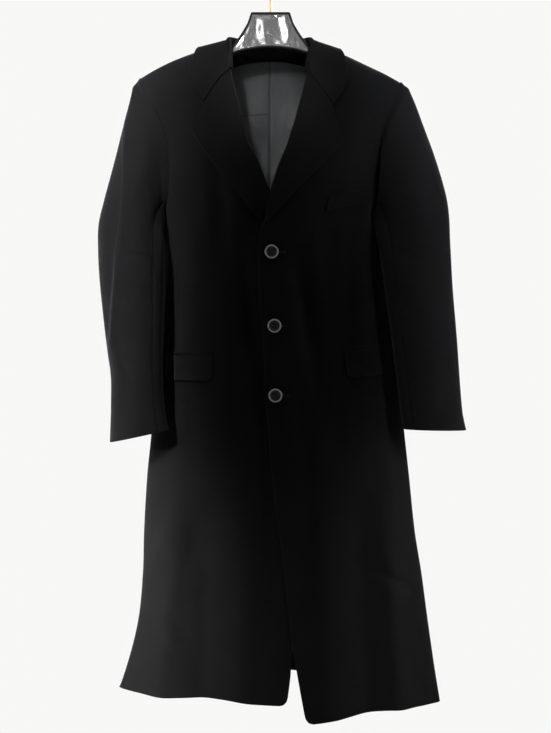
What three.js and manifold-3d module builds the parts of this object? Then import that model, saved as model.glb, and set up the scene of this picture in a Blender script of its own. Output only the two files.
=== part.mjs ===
// A single-breasted wool overcoat hanging on a plain coat hanger.
// Millimetres, +Z up. The front faces -Y and +X is the viewer's right.
// Left and right in the names are the wearer's. The origin is the inside top of the hanger's hook.
import * as THREE from 'three';
import { mergeVertices } from 'three/addons/utils/BufferGeometryUtils.js';
import Module from 'manifold-3d';

const wasm = await Module();
wasm.setup();

// ---------------------------------------------------------------- driving dimensions

const CLOTH = 2.6; // coating with its lining
const TRIM = 2; // flaps, jets and welt
const SATIN = 1; // the lining at the back of the neck
const SEAM = 0.3; // gap between two sewn pieces
const ARMHOLE_GAP = 0.6; // the same where a sleeve is set in
const LAY = 0.4; // gap under a piece that lies on a panel

const FRONT_CROWN = 90; // drop over which the front rounds away from the shoulder line
const BACK_CROWN = 70; // the same at the back
const NECK_HALF = 78; // half of the neck opening, at the shoulder seam
const NECK_DROP = 150; // level of the neck seam at the centre back
const NECK_RISE = 17; // how much higher it is at the shoulder seams
const CENTRE_BACK = -5; // x of the centre back seam
const VENT_TOP = 905; // level of the top of the vent
const VENT_LAP = 34; // underlap of the vent
const VENT_SINK = 5; // how deep the underlap lies
const SKIRT_LEVEL = 1140; // below this level the rows follow the hem
const ROLL_INSET = 5.5; // the front stops this far from the lapel's fold
const UNDERARM = 462; // level of the lowest point of the armholes
const ON_SEAM = 1e-6; // closer than this to the shoulder or side seam is on it

const BUTTON = { radius: 12.4, thick: 4.4, rim: 2.6, dish: 1.5, hole: 1.25, spread: 2.7 };
const HOOK = { wire: 1.9, bend: 19.9, stem: 50, tip: 35 };
const PLATE = { front: -9, thick: 15, bevel: 2.2 };

const COLOURS = { wool: '#17181a', satin: '#33353a', horn: '#1c1b1c', plastic: '#0c0c0d', brass: '#b08d45' };

// Rows of a table, with its column names given once.
function table(columns, ...rows) {
  const names = columns.split(' ');
  return rows.map((row) => Object.fromEntries(names.map((name, i) => [name, row[i]])));
}

// The body's horizontal sections. `left` and `right` are the side seams as the viewer sees them,
// `front` and `back` the depth on the centre line, `frontOut` and `backOut` the depth that the
// section has towards the armholes, and `power` how sharply it narrows at the sides.
const BODY = table(
  'level left right front frontOut back backOut power',
  [90, -296, 286, 10, 78, 44, 70, 1.25],
  [133, -296, 286, 22, 78, 52, 70, 1.25],
  [175, -294, 284, 40, 79, 60, 71, 1.25],
  [215, -288, 278, 53, 80, 66, 72, 1.25],
  [260, -276, 266, 66, 81, 71, 73, 1.25],
  [330, -250, 241, 82, 84, 77, 77, 1.25],
  [400, -226, 218, 91, 91, 81, 81, 1.25],
  [462, -201, 197, 94, 94, 84, 84, 1.35],
  [520, -204, 208, 94, 94, 84, 84, 1.8],
  [590, -208, 218, 93, 93, 84, 84, 2],
  [690, -214, 230, 92, 92, 83, 83, 2],
  [747, -217, 237, 91, 91, 82, 82, 1.95],
  [847, -220, 247, 90, 90, 80, 80, 1.6],
  [930, -228, 256, 90, 90, 78, 78, 1.45],
  [1035, -234, 267, 89, 89, 76, 76, 1.4],
  [1110, -236, 279, 89, 89, 74, 74, 1.4],
  [1200, -245, 291, 88, 88, 72, 72, 1.45],
  [1290, -268, 304, 88, 88, 70, 70, 1.5],
  [1375, -300, 318, 88, 88, 68, 68, 1.5],
);

// The shoulder line, from one armhole over the neck to the other.
const SHOULDER = table(
  'x z',
  [-300, -262],
  [-275, -232],
  [-250, -206],
  [-223, -188],
  [-182, -167.5],
  [-129, -148],
  [-78, -132],
  [0, -110],
  [78, -133],
  [123, -150],
  [184, -177.5],
  [217, -193],
  [250, -213],
  [275, -238],
  [300, -268],
);

// The armhole seams, seen from the front: how far out each is at a level.
const ARMHOLE = {
  right: table(
    'level front back',
    [198, -238, -238],
    [224, -231, -235],
    [256, -211, -226],
    [290, -196, -217],
    [330, -186, -210],
    [375, -183, -206],
    [415, -185, -203],
    [445, -193, -201],
    [462, -201, -201],
  ),
  left: table(
    'level front back',
    [205, 238, 238],
    [233, 233, 235],
    [265, 218, 226],
    [291, 208, 218],
    [330, 202, 212],
    [375, 199, 207],
    [415, 197, 203],
    [445, 196, 199],
    [462, 197, 197],
  ),
};

// Inner edge of each front: the neck, the fold of the lapel, then the free front edge.
const FRONT_EDGE = {
  right: table(
    'level x',
    [132, -78],
    [158, -75],
    [181, -72],
    [196, -71],
    [258, -56],
    [332, -38],
    [362, -23],
    [412, -3],
    [455, 22],
    [500, 28],
    [700, 30],
    [900, 33],
    [1100, 36],
    [1262, 37],
    [1330, 30],
  ),
  left: table(
    'level x',
    [133, 78],
    [158, 71],
    [177, 67],
    [200, 66],
    [258, 51.5],
    [330, 31.5],
    [382, 11],
    [418, 1],
    [467, -13],
    [500, -19.5],
    [612, -19.9],
    [656, -15],
    [780, -9],
    [842, -4],
    [943, 5],
    [1020, 15],
    [1090, 24],
    [1155, 31],
    [1215, 38],
    [1261, 45],
    [1358, 62],
  ),
};

// How deep the right front lies under the left one.
const LAP_START = 62; // distance outside the left front's edge where the right front starts to sink
const LAP_FULL = 6; // and where it is down
const LAP = table('level depth', [100, 0], [290, 0], [395, 10.4], [490, 10.4], [545, 5.6], [1400, 5.2]);

const HEM = {
  right: table('x level', [-300, 1322], [-194, 1325], [-105, 1322], [36, 1333]),
  left: table('x level', [40, 1366], [125, 1357], [197, 1349], [318, 1349]),
  back: table('x level', [-300, 1322], [-150, 1313], [0, 1308], [150, 1321], [318, 1349]),
};

// Rows of the grid of a front or back panel. `arm` runs from 0 at the top of the armhole to 1 at
// the underarm, and `edge` is the level at the neck, lapel fold or front edge.
const TOP_ROWS = table(
  'arm edge level',
  [0, 0, 0],
  [0.07, 9, 0],
  [0.15, 26, 0.02],
  [0.25, 52, 0.08],
  [0.37, 95, 0.25],
  [0.5, 143, 0.5],
  [0.63, 193, 0.75],
  [0.76, 240, 0.92],
  [0.88, 285, 1],
  [1, 325, 1],
);
const BODY_LEVELS = [505, 560, 620, 685, 750, 815, 880, 950, 1020, 1085, SKIRT_LEVEL];
const HEM_STEPS = [0.3, 0.6, 0.85, 1];
// Columns of a panel, as fractions of the way from its side to its edge.
const FRONT_COLUMNS = [0, 0.12, 0.24, 0.36, 0.48, 0.6, 0.71, 0.8, 0.88, 0.94, 1];
const BACK_COLUMNS = [0, 0.12, 0.24, 0.36, 0.48, 0.6, 0.72, 0.83, 0.92, 1];

// Soft folds of the body, each along a line from its upper to its lower end.
// A positive depth sinks the cloth and a negative one raises it.
const FRONT_FOLDS = table(
  'x1 level1 x2 level2 width depth',
  [-118, 330, -72, 690, 20, 6],
  [-150, 420, -128, 640, 17, -5],
  [-160, 880, -196, 1290, 26, -9],
  [-105, 900, -118, 1325, 24, 8],
  [-52, 840, -40, 1325, 26, -6],
  [40, 470, 100, 840, 22, 6],
  [140, 420, 122, 660, 18, -5],
  [88, 900, 92, 1350, 24, -7],
  [150, 860, 172, 1345, 26, 9],
  [205, 900, 236, 1340, 20, -9],
  [168, 1091, 275, 1150, 12, 4],
);
const BACK_FOLDS = table(
  'x1 level1 x2 level2 width depth',
  [-130, 300, -100, 620, 26, 6],
  [128, 310, 96, 640, 26, 6],
  [-150, 760, -182, 1310, 28, -9],
  [-88, 820, -96, 1312, 26, 8],
  [92, 820, 104, 1315, 26, 8],
  [160, 770, 200, 1330, 28, -9],
  [-40, 560, -52, 900, 22, -4],
  [44, 570, 40, 905, 22, -4],
);

// The sleeves, as rings from the shoulder to the cuff. Each ring runs from its outer point to its
// inner point in the plane of the shoulders, and bulges to the front and back of its middle depth.
const SLEEVES = {
  right: table(
    'step outX outZ inX inZ middle front back bow tilt',
    [1, -254, -214, -205, -469, -3, 52, 48, 26, 0],
    [2, -262, -250, -204, -480, -7, 55, 48, 14, 2],
    [3, -275, -305, -203, -492, -11, 56, 48, 6, 5],
    [4, -290, -365, -200, -506, -16, 56, 48, 2, 9],
    [5, -305, -424, -197, -522, -22, 55, 47, 0, 12],
    [6, -314, -470, -194, -541, -28, 54, 46, 0, 13],
    [7, -315, -515, -192, -562, -33, 52, 46, 0, 13],
    [8, -311, -580, -192, -602, -38, 50, 44, 0, 13],
    [9, -303, -645, -193, -656, -44, 48, 43, 0, 12],
    [10, -294, -705, -194, -711, -50, 46, 42, 0, 10],
    [11, -287, -752, -193, -752, -55, 45, 41, 0, 8],
    [12, -286, -805, -190, -800, -60, 44, 41, 0, 4],
    [13, -287, -865, -182, -843, -64, 43, 40, 0, 0],
  ),
  left: table(
    'step outX outZ inX inZ middle front back bow tilt',
    [1, 255, -217, 200, -469, -3, 52, 48, -26, 0],
    [2, 266, -245, 200.5, -479, -7, 55, 48, -14, 2],
    [3, 283, -292, 200.5, -490, -11, 56, 48, -6, 5],
    [4, 302, -346, 200, -502, -16, 56, 48, -2, 9],
    [5, 318, -402, 199.5, -516, -22, 55, 47, 0, 12],
    [6, 326, -452, 200, -534, -28, 54, 46, 0, 13],
    [7, 328.5, -512, 202, -556, -33, 52, 46, 0, 13],
    [8, 331, -578, 206, -594, -38, 50, 44, 0, 13],
    [9, 335, -649, 214, -653, -44, 48, 43, 0, 12],
    [10, 338.5, -706, 221, -709, -50, 46, 42, 0, 10],
    [11, 341, -760, 228, -760, -55, 45, 41, 0, 8],
    [12, 345, -812, 233.5, -808, -60, 44, 41, 0, 4],
    [13, 350.5, -843, 237.5, -842, -64, 43, 40, 0, 0],
  ),
};
const SEAM_TURN = 0.2; // half of the gap at a sleeve's long seams, in degrees
const SLEEVE_ROWS = [0, 0.5, 1, 1.6, 2.3, 3, 4, 5, 6, 7, 8, 9, 10, 11, 12, 13];
// The sleeve's columns meet the rows of the fronts and backs at the armhole seam: steps of `arm`,
// counted from the shoulder, negative towards the back and above 1 on the way up again.
const UPPER_SLEEVE = [-0.37, -0.25, -0.15, -0.07, 0, 0.07, 0.15, 0.25, 0.37, 0.5, 0.63, 0.76];
const UNDER_SLEEVE = [0.76, 0.88, 1, 1.12, 1.24, 1.37, 1.5, 1.63];
// The pressed edge down the outside of the right sleeve: in front of it the sleeve is a flat face,
// behind it a lobe of cloth falls back.
const SLEEVE_EDGE = table('level x', [300, -262], [420, -262], [520, -270], [600, -276], [700, -286]);
const LOBE = { back: 13, width: 9, top: 300, bottom: 730 };

// The collar, station by station, from the left front over the back to the right front. `seam` is
// its neck seam, `top` its fold and `edge` its free edge.
const COLLAR = table(
  'side seamX seamZ topX topY topZ edgeX edgeY edgeZ',
  [-1, 66.5, -192, 66.5, -44, -194, 111.5, -68, -263],
  [-1, 67, -184, 67, -40, -184, 127, -64, -243],
  [-1, 68, -172, 68.5, -33, -170, 140, -58, -224],
  [-1, 72, -158, 72, -23, -152, 137, -42, -198],
  [-1, 76, -143, 77, -10, -135, 130, -20, -168],
  [1, 79, -133.8, 74.5, 6, -119, 118, 8, -146],
  [1, 67, -139, 62, 30, -113.5, 92, 46, -156],
  [1, 36, -147, 34, 46, -111, 50, 74, -163],
  [1, -3, -149.7, -3, 51, -110, -3, 80, -165],
  [1, -42, -147, -40, 46, -111, -56, 74, -163],
  [1, -70, -139, -63, 30, -113.5, -98, 46, -155],
  [1, -77.5, -132.6, -77, 6, -118.5, -124, 8, -143],
  [-1, -75, -143, -76.5, -10, -133, -134, -20, -163],
  [-1, -73, -158, -74.5, -23, -152, -140, -42, -190],
  [-1, -72, -172, -73, -33, -170, -146, -56, -214],
  [-1, -71.5, -184, -72, -40, -184, -133, -62, -237],
  [-1, -71, -190, -71.5, -42, -190, -119, -66, -258],
);
const COLLAR_FOLD = 4.2; // half of the thickness of the folded collar
const COLLAR_ROLL = 8.5; // how far its fold stands off the fronts
const STAND_INSIDE = 1.3; // gap between its stand and the edge of the neck
const COLLAR_STEPS = [0.2, 0.4, 0.6, 0.8, 1];
const COLLAR_LIFT = 4.6; // gap between the collar's fall and the body under it

// The lapels. Each row runs from the fold, at a level, to a point of the outer edge.
const LAPELS = {
  right: table(
    'level outX outZ',
    [194.5, -141.6, -293.3],
    [225, -134, -317],
    [258, -119.5, -342],
    [300, -97, -373],
    [340, -72, -405],
    [375, -48, -435],
    [402, -30, -458],
    [420, -17, -468],
  ),
  left: table(
    'level outX outZ',
    [198, 134.7, -312.4],
    [225, 129.3, -325.3],
    [258, 108, -352],
    [300, 84, -380],
    [340, 60, -404],
    [385, 35, -429],
    [425, 13, -453],
    [456, -4, -472],
  ),
};
const NOTCHES = { right: { at: 0.68, x: -119, z: -260 }, left: { at: 0.66, x: 111.7, z: -265.4 } };
const LAPEL_STEPS = [0, 0.035, 0.1, 0.22, 0.4, 0.6, 0.8, 1];
const LAPEL_LIFT = 2; // gap between the lapel and the front under it
const LAPEL_ROLL = 5; // how far the lapel's fold stands off the front
const ROLL_FADE = 16; // distance over which that fades
const ROLL_WIDTH = 90; // a lapel narrower than this rolls less
const LAPEL_SINK = 1.2; // how deep the lapel's fold wraps round the edge of the front

// Pieces that lie on a front: corners as seen from the front, from the top inner corner round.
const PATCHES = [
  ['chest_welt', 'left', [[104, -430], [170, -410], [177, -432], [98, -457]], 6, 3],
  ['right_pocket_jet', 'right', [[-101, -703], [-187, -701], [-187, -707], [-101, -709]], 6, 1],
  ['right_pocket_flap', 'right', [[-101, -710], [-187, -708], [-188, -755], [-103, -758]], 7, 3],
  ['left_pocket_jet', 'left', [[133, -696], [200, -690], [201, -696], [133, -702]], 6, 1],
  ['left_pocket_flap', 'left', [[133, -703], [202, -697], [210, -744], [135, -752]], 7, 3],
];

const PATCH_LIFT = 0.9; // gap under the welt, jets and flaps

const BUTTONS = table('name x z', ['top', 2.4, -527.5], ['middle', 7.3, -658], ['bottom', 9.1, -781]);

const LINING = { half: 118, bottom: 525, seam: -1.5, inside: 4.8, rows: 9, columns: 6 };

// Outline of the hanger's centre plate: its right half, then mirrored.
const PLATE_OUTLINE = [[36, -76.5], [42, -96], [52, -113], [63, -129], [72.5, -142], [72.5, -155]];
const PLATE_ARCH = -142;
const ARM_GAP = 1.4; // between the arms and the cloth on them
// Sections of an arm: `lower` is how far its top lies below the cloth.
const ARM = table(
  'x lower height depth',
  [72.8, 7.5, 12, 7.5],
  [92, 2, 13, 9],
  [120, 0, 15, 12],
  [155, 0, 17, 15],
  [190, 0, 18, 18],
  [210, 1.5, 17, 16],
  [216, 5.5, 9, 10],
);

// ---------------------------------------------------------------- curves and the body's surface

const clamp = (value, low, high) => Math.min(high, Math.max(low, value));
const mix = (a, b, t) => a + (b - a) * t;
const smooth = (t) => clamp(t, 0, 1) ** 2 * (3 - 2 * clamp(t, 0, 1));
const radians = (degrees) => (degrees * Math.PI) / 180;

// A column's value where the key column is `at`, on a smooth curve through the rows.
function along(rows, key, at, column) {
  const last = rows.length - 1;
  let i = 0;
  while (i < last - 1 && at > rows[i + 1][key]) i += 1;
  const slope = (j) => {
    const before = rows[Math.max(j - 1, 0)];
    const after = rows[Math.min(j + 1, last)];
    return (after[column] - before[column]) / (after[key] - before[key]);
  };
  const span = rows[i + 1][key] - rows[i][key];
  const t = clamp((at - rows[i][key]) / span, 0, 1);
  const start = rows[i][column];
  const end = rows[i + 1][column];
  const bend = slope(i) * span * t * (1 - t) ** 2 - slope(i + 1) * span * t ** 2 * (1 - t);
  return mix(start, end, t ** 2 * (3 - 2 * t)) + bend;
}

const shoulderZ = (x) => along(SHOULDER, 'x', x, 'z');

// The section at a height: its centre, half width and the angle scale of its sides.
function section(z) {
  const left = along(BODY, 'level', -z, 'left');
  const right = along(BODY, 'level', -z, 'right');
  return { centre: (left + right) / 2, half: (right - left) / 2 };
}

// x of a side seam.
const sideX = (which, z) => section(z).centre + (which === 'right' ? -1 : 1) * section(z).half;

function angleAt(x, z) {
  const { centre, half } = section(z);
  return Math.asin(clamp((x - centre) / half, -1, 1));
}

function foldDepth(folds, x, z) {
  let sum = 0;
  for (const fold of folds) {
    const dx = fold.x2 - fold.x1;
    const dz = fold.level1 - fold.level2;
    const length = Math.hypot(dx, dz);
    const t = ((x - fold.x1) * dx + (z + fold.level1) * dz) / length ** 2;
    const away = ((x - fold.x1) * dz - (z + fold.level1) * dx) / length;
    const toHem = fold.level2 > 1280 ? 1 : Math.sin(Math.PI * clamp(t, 0, 1));
    const grow = t <= 0 ? 0 : smooth(t * 2.5) * toHem;
    sum += fold.depth * grow * Math.exp(-((away / fold.width) ** 2));
  }
  return sum;
}

// Depth of the body's outer face at (x, z). `side` is -1 for the front and 1 for the back.
function bodyY(side, x, z) {
  const { centre, half } = section(z);
  const across = clamp((x - centre) / half, -1, 1);
  const narrow = Math.sqrt(1 - across ** 2);
  const name = side < 0 ? 'front' : 'back';
  const near = along(BODY, 'level', -z, name);
  const out = along(BODY, 'level', -z, `${name}Out`);
  const depth = mix(near, out, smooth((Math.abs(x) - 60) / 90));
  const crown = side < 0 ? FRONT_CROWN : BACK_CROWN;
  const drop = clamp(shoulderZ(x) - z, 0, crown);
  const round = Math.sqrt(1 - (1 - drop / crown) ** 2);
  const shape = depth * narrow ** along(BODY, 'level', -z, 'power') * round;
  const fold = foldDepth(side < 0 ? FRONT_FOLDS : BACK_FOLDS, x, z) * smooth(narrow * 1.6);
  return side * Math.max(shape - fold, 0);
}

const edgeX = (which, z) => along(FRONT_EDGE[which], 'level', -z, 'x');

// How far the right front sinks at (x, z) to pass under the left one.
function lapDepth(x, z) {
  const near = smooth((x - edgeX('left', z) + LAP_START) / (LAP_START - LAP_FULL));
  return along(LAP, 'level', -z, 'depth') * near;
}

function frontPoint(which, x, z) {
  const under = which === 'right' ? lapDepth(x, z) : 0;
  return new THREE.Vector3(x, bodyY(-1, x, z) + under, z);
}

// A point moved off a surface y(x, z) along its own outward direction, on its side of the body.
function offSurface(side, surface, x, z, amount) {
  const step = 2;
  const slopeX = (surface(x + step, z) - surface(x - step, z)) / (2 * step);
  const slopeZ = (surface(x, z + step) - surface(x, z - step)) / (2 * step);
  const out = new THREE.Vector3(-side * slopeX, side, -side * slopeZ).normalize();
  return new THREE.Vector3(x, surface(x, z), z).addScaledVector(out, amount);
}

const raised = (which, x, z, amount) =>
  offSurface(-1, (px, pz) => frontPoint(which, px, pz).y, x, z, amount);

// ---------------------------------------------------------------- solids from grids of points

// Direction out of the cloth at each point of a grid whose rows run down it.
function gridNormals(grid) {
  const rows = grid.length - 1;
  const columns = grid[0].length - 1;
  return grid.map((row, i) =>
    row.map((point, j) => {
      const down = grid[Math.min(i + 1, rows)][j].clone().sub(grid[Math.max(i - 1, 0)][j]);
      const over = row[Math.min(j + 1, columns)].clone().sub(row[Math.max(j - 1, 0)]);
      return down.cross(over).normalize();
    }),
  );
}

// A closed wall of cloth: the grid is its outer face, and the inner face lies `thick` behind it.
function wallGeometry(grid, thick, normals = gridNormals(grid), keep = (point) => point) {
  const columns = grid[0].length;
  const rows = grid.length;
  const outer = grid.flat();
  const inner = outer.map((point, n) => {
    const normal = normals[Math.floor(n / columns)][n % columns];
    return keep(point.clone().addScaledVector(normal, -thick));
  });
  const index = [];
  const at = (i, j) => i * columns + j;
  const shift = outer.length;
  for (let i = 0; i < rows - 1; i += 1) {
    for (let j = 0; j < columns - 1; j += 1) {
      const [a, b, c, d] = [at(i, j), at(i + 1, j), at(i + 1, j + 1), at(i, j + 1)];
      index.push(a, b, c, a, c, d);
      index.push(a + shift, c + shift, b + shift, a + shift, d + shift, c + shift);
    }
  }
  const rim = [];
  for (let i = 0; i < rows - 1; i += 1) rim.push([at(i, 0), at(i + 1, 0)]);
  for (let j = 0; j < columns - 1; j += 1) rim.push([at(rows - 1, j), at(rows - 1, j + 1)]);
  for (let i = rows - 1; i > 0; i -= 1) rim.push([at(i, columns - 1), at(i - 1, columns - 1)]);
  for (let j = columns - 1; j > 0; j -= 1) rim.push([at(0, j), at(0, j - 1)]);
  for (const [a, b] of rim) index.push(b, a, a + shift, b, a + shift, b + shift);
  const geometry = new THREE.BufferGeometry();
  const positions = [...outer, ...inner].flatMap((point) => [point.x, point.y, point.z]);
  geometry.setAttribute('position', new THREE.Float32BufferAttribute(positions, 3));
  geometry.setIndex(index);
  return geometry;
}

const MATERIALS = {
  wool: new THREE.MeshStandardMaterial({ color: COLOURS.wool, roughness: 0.95, metalness: 0 }),
  satin: new THREE.MeshStandardMaterial({ color: COLOURS.satin, roughness: 0.5, metalness: 0 }),
  horn: new THREE.MeshStandardMaterial({ color: COLOURS.horn, roughness: 0.35, metalness: 0 }),
  plastic: new THREE.MeshStandardMaterial({ color: COLOURS.plastic, roughness: 0.2, metalness: 0 }),
  brass: new THREE.MeshStandardMaterial({ color: COLOURS.brass, roughness: 0.3, metalness: 1 }),
};

const overcoat = new THREE.Group();

function addPiece(name, geometry, material) {
  const mesh = new THREE.Mesh(geometry, MATERIALS[material].clone());
  mesh.name = name;
  overcoat.add(mesh);
  return mesh;
}

// ---------------------------------------------------------------- sleeves and armholes

// A point of the armhole seam, `turn` degrees round it: 0 on the shoulder, 90 in front, 180 below.
function armholePoint(which, turn) {
  const rows = ARMHOLE[which];
  const topZ = shoulderZ(rows[0].front);
  const z = mix(-UNDERARM, topZ, (1 + Math.cos(radians(turn))) / 2);
  const side = Math.sin(radians(turn)) >= 0 ? -1 : 1;
  const x = along(rows, 'level', -z, side < 0 ? 'front' : 'back');
  if (topZ - z < ON_SEAM) return new THREE.Vector3(x, 0, z);
  if (z + UNDERARM < ON_SEAM) return new THREE.Vector3(sideX(which, z), 0, z);
  return new THREE.Vector3(x, bodyY(side, x, z), z);
}

// A point of a sleeve: `step` counts the rings and `turn` is degrees round, 0 outside, 90 in front.
function sleevePoint(which, step, turn) {
  const rows = SLEEVES[which];
  const at = Math.max(step, 1);
  const ring = (column) => along(rows, 'step', at, column);
  const outward = (1 + Math.cos(radians(turn))) / 2;
  const lean = Math.sin(radians(turn));
  const x = mix(ring('inX'), ring('outX'), outward) + ring('bow') * Math.max(lean, 0) ** 2;
  const z = mix(ring('inZ'), ring('outZ'), outward);
  const tilt = ring('tilt') * (1.5 * outward - 1);
  const y = ring('middle') + tilt - lean * ring(lean > 0 ? 'front' : 'back');
  const point = new THREE.Vector3(x, y, z);
  if (which === 'right') point.y += lobeDepth(x, z) * Math.max(lean, 0) ** 0.5;
  if (step >= 1) return point;
  return armholePoint(which, turn).lerp(point, smooth(step) * 0.4 + step * 0.6);
}

function lobeDepth(x, z) {
  const edge = along(SLEEVE_EDGE, 'level', -z, 'x');
  const long = smooth((-z - LOBE.top) / 90) * smooth((LOBE.bottom + z) / 90);
  return LOBE.back * long * smooth((edge - x) / LOBE.width);
}

// Outward direction on the armhole seam, half way between the body's cloth and the sleeve's.
function armholeNormal(which, turn) {
  const here = armholePoint(which, turn);
  const seam = armholePoint(which, turn + 4).sub(armholePoint(which, turn - 4));
  const sleeve = sleevePoint(which, 0.5, turn).sub(here).normalize();
  const hand = which === 'right' ? 1 : -1;
  const fromSleeve = sleeve.clone().cross(seam).multiplyScalar(hand).normalize();
  const inside = new THREE.Vector3(section(here.z).centre, here.y * 0.4, here.z - 4);
  const fromBody = inside.sub(here).normalize().cross(seam).multiplyScalar(-hand).normalize();
  const normal = fromSleeve.add(fromBody).normalize();
  const away = seam.clone().cross(normal).multiplyScalar(hand).normalize();
  return { normal, away };
}

function addSleeve(name, which, part) {
  const grid = [];
  const normals = [];
  for (const step of SLEEVE_ROWS) {
    const row = [];
    const rowNormals = [];
    for (let j = 0; j < part.length; j += 1) {
      const gap = j === 0 ? SEAM_TURN : j === part.length - 1 ? -SEAM_TURN : 0;
      const turn = part[j] * 180 + gap;
      const hand = which === 'right' ? 1 : -1;
      const across = sleevePoint(which, step, turn + 3).sub(sleevePoint(which, step, turn - 3));
      const low = Math.min(step + 0.1, 13);
      const high = Math.max(step - 0.1, 0);
      const down = sleevePoint(which, low, turn).sub(sleevePoint(which, high, turn));
      let normal = down.cross(across).multiplyScalar(hand).normalize();
      const point = sleevePoint(which, step, turn);
      if (step === 0) {
        const seam = armholeNormal(which, turn);
        normal = seam.normal;
        point.addScaledVector(seam.away, ARMHOLE_GAP);
      }
      row.push(point);
      rowNormals.push(normal);
    }
    if (which === 'left') {
      row.reverse();
      rowNormals.reverse();
    }
    grid.push(row);
    normals.push(rowNormals);
  }
  addPiece(name, wallGeometry(grid, CLOTH, normals), 'wool');
}

// ---------------------------------------------------------------- fronts and backs

const neckLevel = (x) => NECK_DROP - NECK_RISE * Math.min(1, Math.abs(x) / NECK_HALF) ** 4;

// One row of a panel between its side point and its edge point, in steps of angle.
function panelRow(columns, from, to, level, topZ, point) {
  const angles = [from, to].map((end) => angleAt(end.x, end.z));
  const drops = [from, to].map((end) => topZ(end.x) - end.z);
  return columns.map((t) => {
    const plainZ = mix(from.z, to.z, t);
    let { centre, half } = section(plainZ);
    let x = centre + half * Math.sin(mix(angles[0], angles[1], t));
    const z = mix(topZ(x) - mix(drops[0], drops[1], t), plainZ, level);
    ({ centre, half } = section(z));
    if (level > 0) x = centre + half * Math.sin(mix(angles[0], angles[1], t));
    if (t === 0) x = from.x;
    if (t === 1) x = to.x;
    return point(x, z);
  });
}

// One row of a panel along a hem that rises and falls.
function hemRow(columns, fromX, toX, hemZ, point) {
  const angles = [fromX, toX].map((x) => angleAt(x, hemZ(x)));
  return columns.map((t) => {
    const { centre, half } = section(hemZ(mix(fromX, toX, t)));
    let x = centre + half * Math.sin(mix(angles[0], angles[1], t));
    if (t === 0) x = fromX;
    if (t === 1) x = toX;
    return point(x, hemZ(x));
  });
}

function addFront(name, which) {
  const inset = (z) => {
    const fold = smooth((-z - 160) / 22) * (1 - smooth((-z - 458) / 40));
    return (which === 'right' ? -1 : 1) * ROLL_INSET * fold;
  };
  const start = which === 'right' ? 132 : 133;
  const point = (x, z) => {
    const place = frontPoint(which, x, z);
    place.y = Math.min(place.y, -SEAM / 2);
    return place;
  };
  const edgePoint = (z) => ({ x: edgeX(which, z) + inset(z), z });
  const grid = TOP_ROWS.map((row) => {
    const armhole = armholePoint(which, row.arm * 180);
    const edge = edgePoint(-start - row.edge);
    return panelRow(FRONT_COLUMNS, armhole, edge, row.level, shoulderZ, point);
  });
  for (const level of BODY_LEVELS) {
    const from = { x: sideX(which, -level), z: -level };
    grid.push(panelRow(FRONT_COLUMNS, from, edgePoint(-level), 1, shoulderZ, point));
  }
  for (const t of HEM_STEPS) {
    const hemZ = (x) => -mix(SKIRT_LEVEL, along(HEM[which], 'x', x, 'level'), t);
    const fromX = sideX(which, hemZ(sideX(which, -1320)));
    grid.push(hemRow(FRONT_COLUMNS, fromX, edgePoint(hemZ(30)).x, hemZ, point));
  }
  const normals = seamNormals(grid, which, 1, which === 'left');
  const keep = (place) => {
    place.y = Math.min(place.y, -SEAM / 2);
    return place;
  };
  addPiece(name, wallGeometry(grid, CLOTH, normals, keep), 'wool');
}

// Normals of a panel, taken from the armhole seam where the panel ends there. The rows are turned
// round first where they run against the panel's outward side.
function seamNormals(grid, which, turnSign, reverse) {
  if (reverse) grid.forEach((row) => row.reverse());
  const normals = gridNormals(grid);
  const column = reverse ? grid[0].length - 1 : 0;
  TOP_ROWS.forEach((row, i) => {
    normals[i][column] = armholeNormal(which, turnSign * row.arm * 180).normal;
  });
  return normals;
}

function addBack(name, which) {
  const hand = which === 'right' ? -1 : 1;
  const underlap = which === 'right';
  const topZ = (x) => {
    const inNeck = Math.abs(x) < NECK_HALF;
    return inNeck ? Math.min(-neckLevel(x), shoulderZ(x)) : shoulderZ(x);
  };
  const seamX = (level) => {
    if (!underlap) return CENTRE_BACK + SEAM / 2;
    return CENTRE_BACK - SEAM / 2 + (VENT_LAP + SEAM) * smooth((level - VENT_TOP) / 40);
  };
  const point = (x, z) => {
    const y = bodyY(1, x, z);
    const open = smooth((-z - VENT_TOP + 85) / 55);
    const sink = underlap ? VENT_SINK * smooth((x - CENTRE_BACK + 26) / 24) * open : 0;
    return new THREE.Vector3(x, Math.max(y - sink, SEAM / 2), z);
  };
  const grid = TOP_ROWS.map((row) => {
    const armhole = armholePoint(which, -row.arm * 180);
    const level = NECK_DROP + mix(row.edge, row.edge * 0.96, row.level);
    const edge = { x: seamX(level), z: -level };
    return panelRow(BACK_COLUMNS, armhole, edge, row.level, topZ, point);
  });
  for (const level of BODY_LEVELS) {
    const from = { x: sideX(which, -level), z: -level };
    grid.push(panelRow(BACK_COLUMNS, from, { x: seamX(level), z: -level }, 1, topZ, point));
  }
  for (const t of HEM_STEPS) {
    const hemZ = (x) => -mix(SKIRT_LEVEL, along(HEM.back, 'x', x, 'level'), t);
    const fromX = sideX(which, hemZ(sideX(which, -1320)));
    grid.push(hemRow(BACK_COLUMNS, fromX, seamX(1300), hemZ, point));
  }
  const normals = seamNormals(grid, which, -1, which === 'right');
  const keep = (place) => {
    place.y = Math.max(place.y, SEAM / 2);
    if (-place.z < VENT_TOP - 5 || !underlap) {
      const off = hand * (place.x - CENTRE_BACK);
      if (off < SEAM / 2) place.x = CENTRE_BACK + (hand * SEAM) / 2;
    }
    return place;
  };
  addPiece(name, wallGeometry(grid, CLOTH, normals, keep), 'wool');
}

// ---------------------------------------------------------------- collar and lapels

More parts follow.
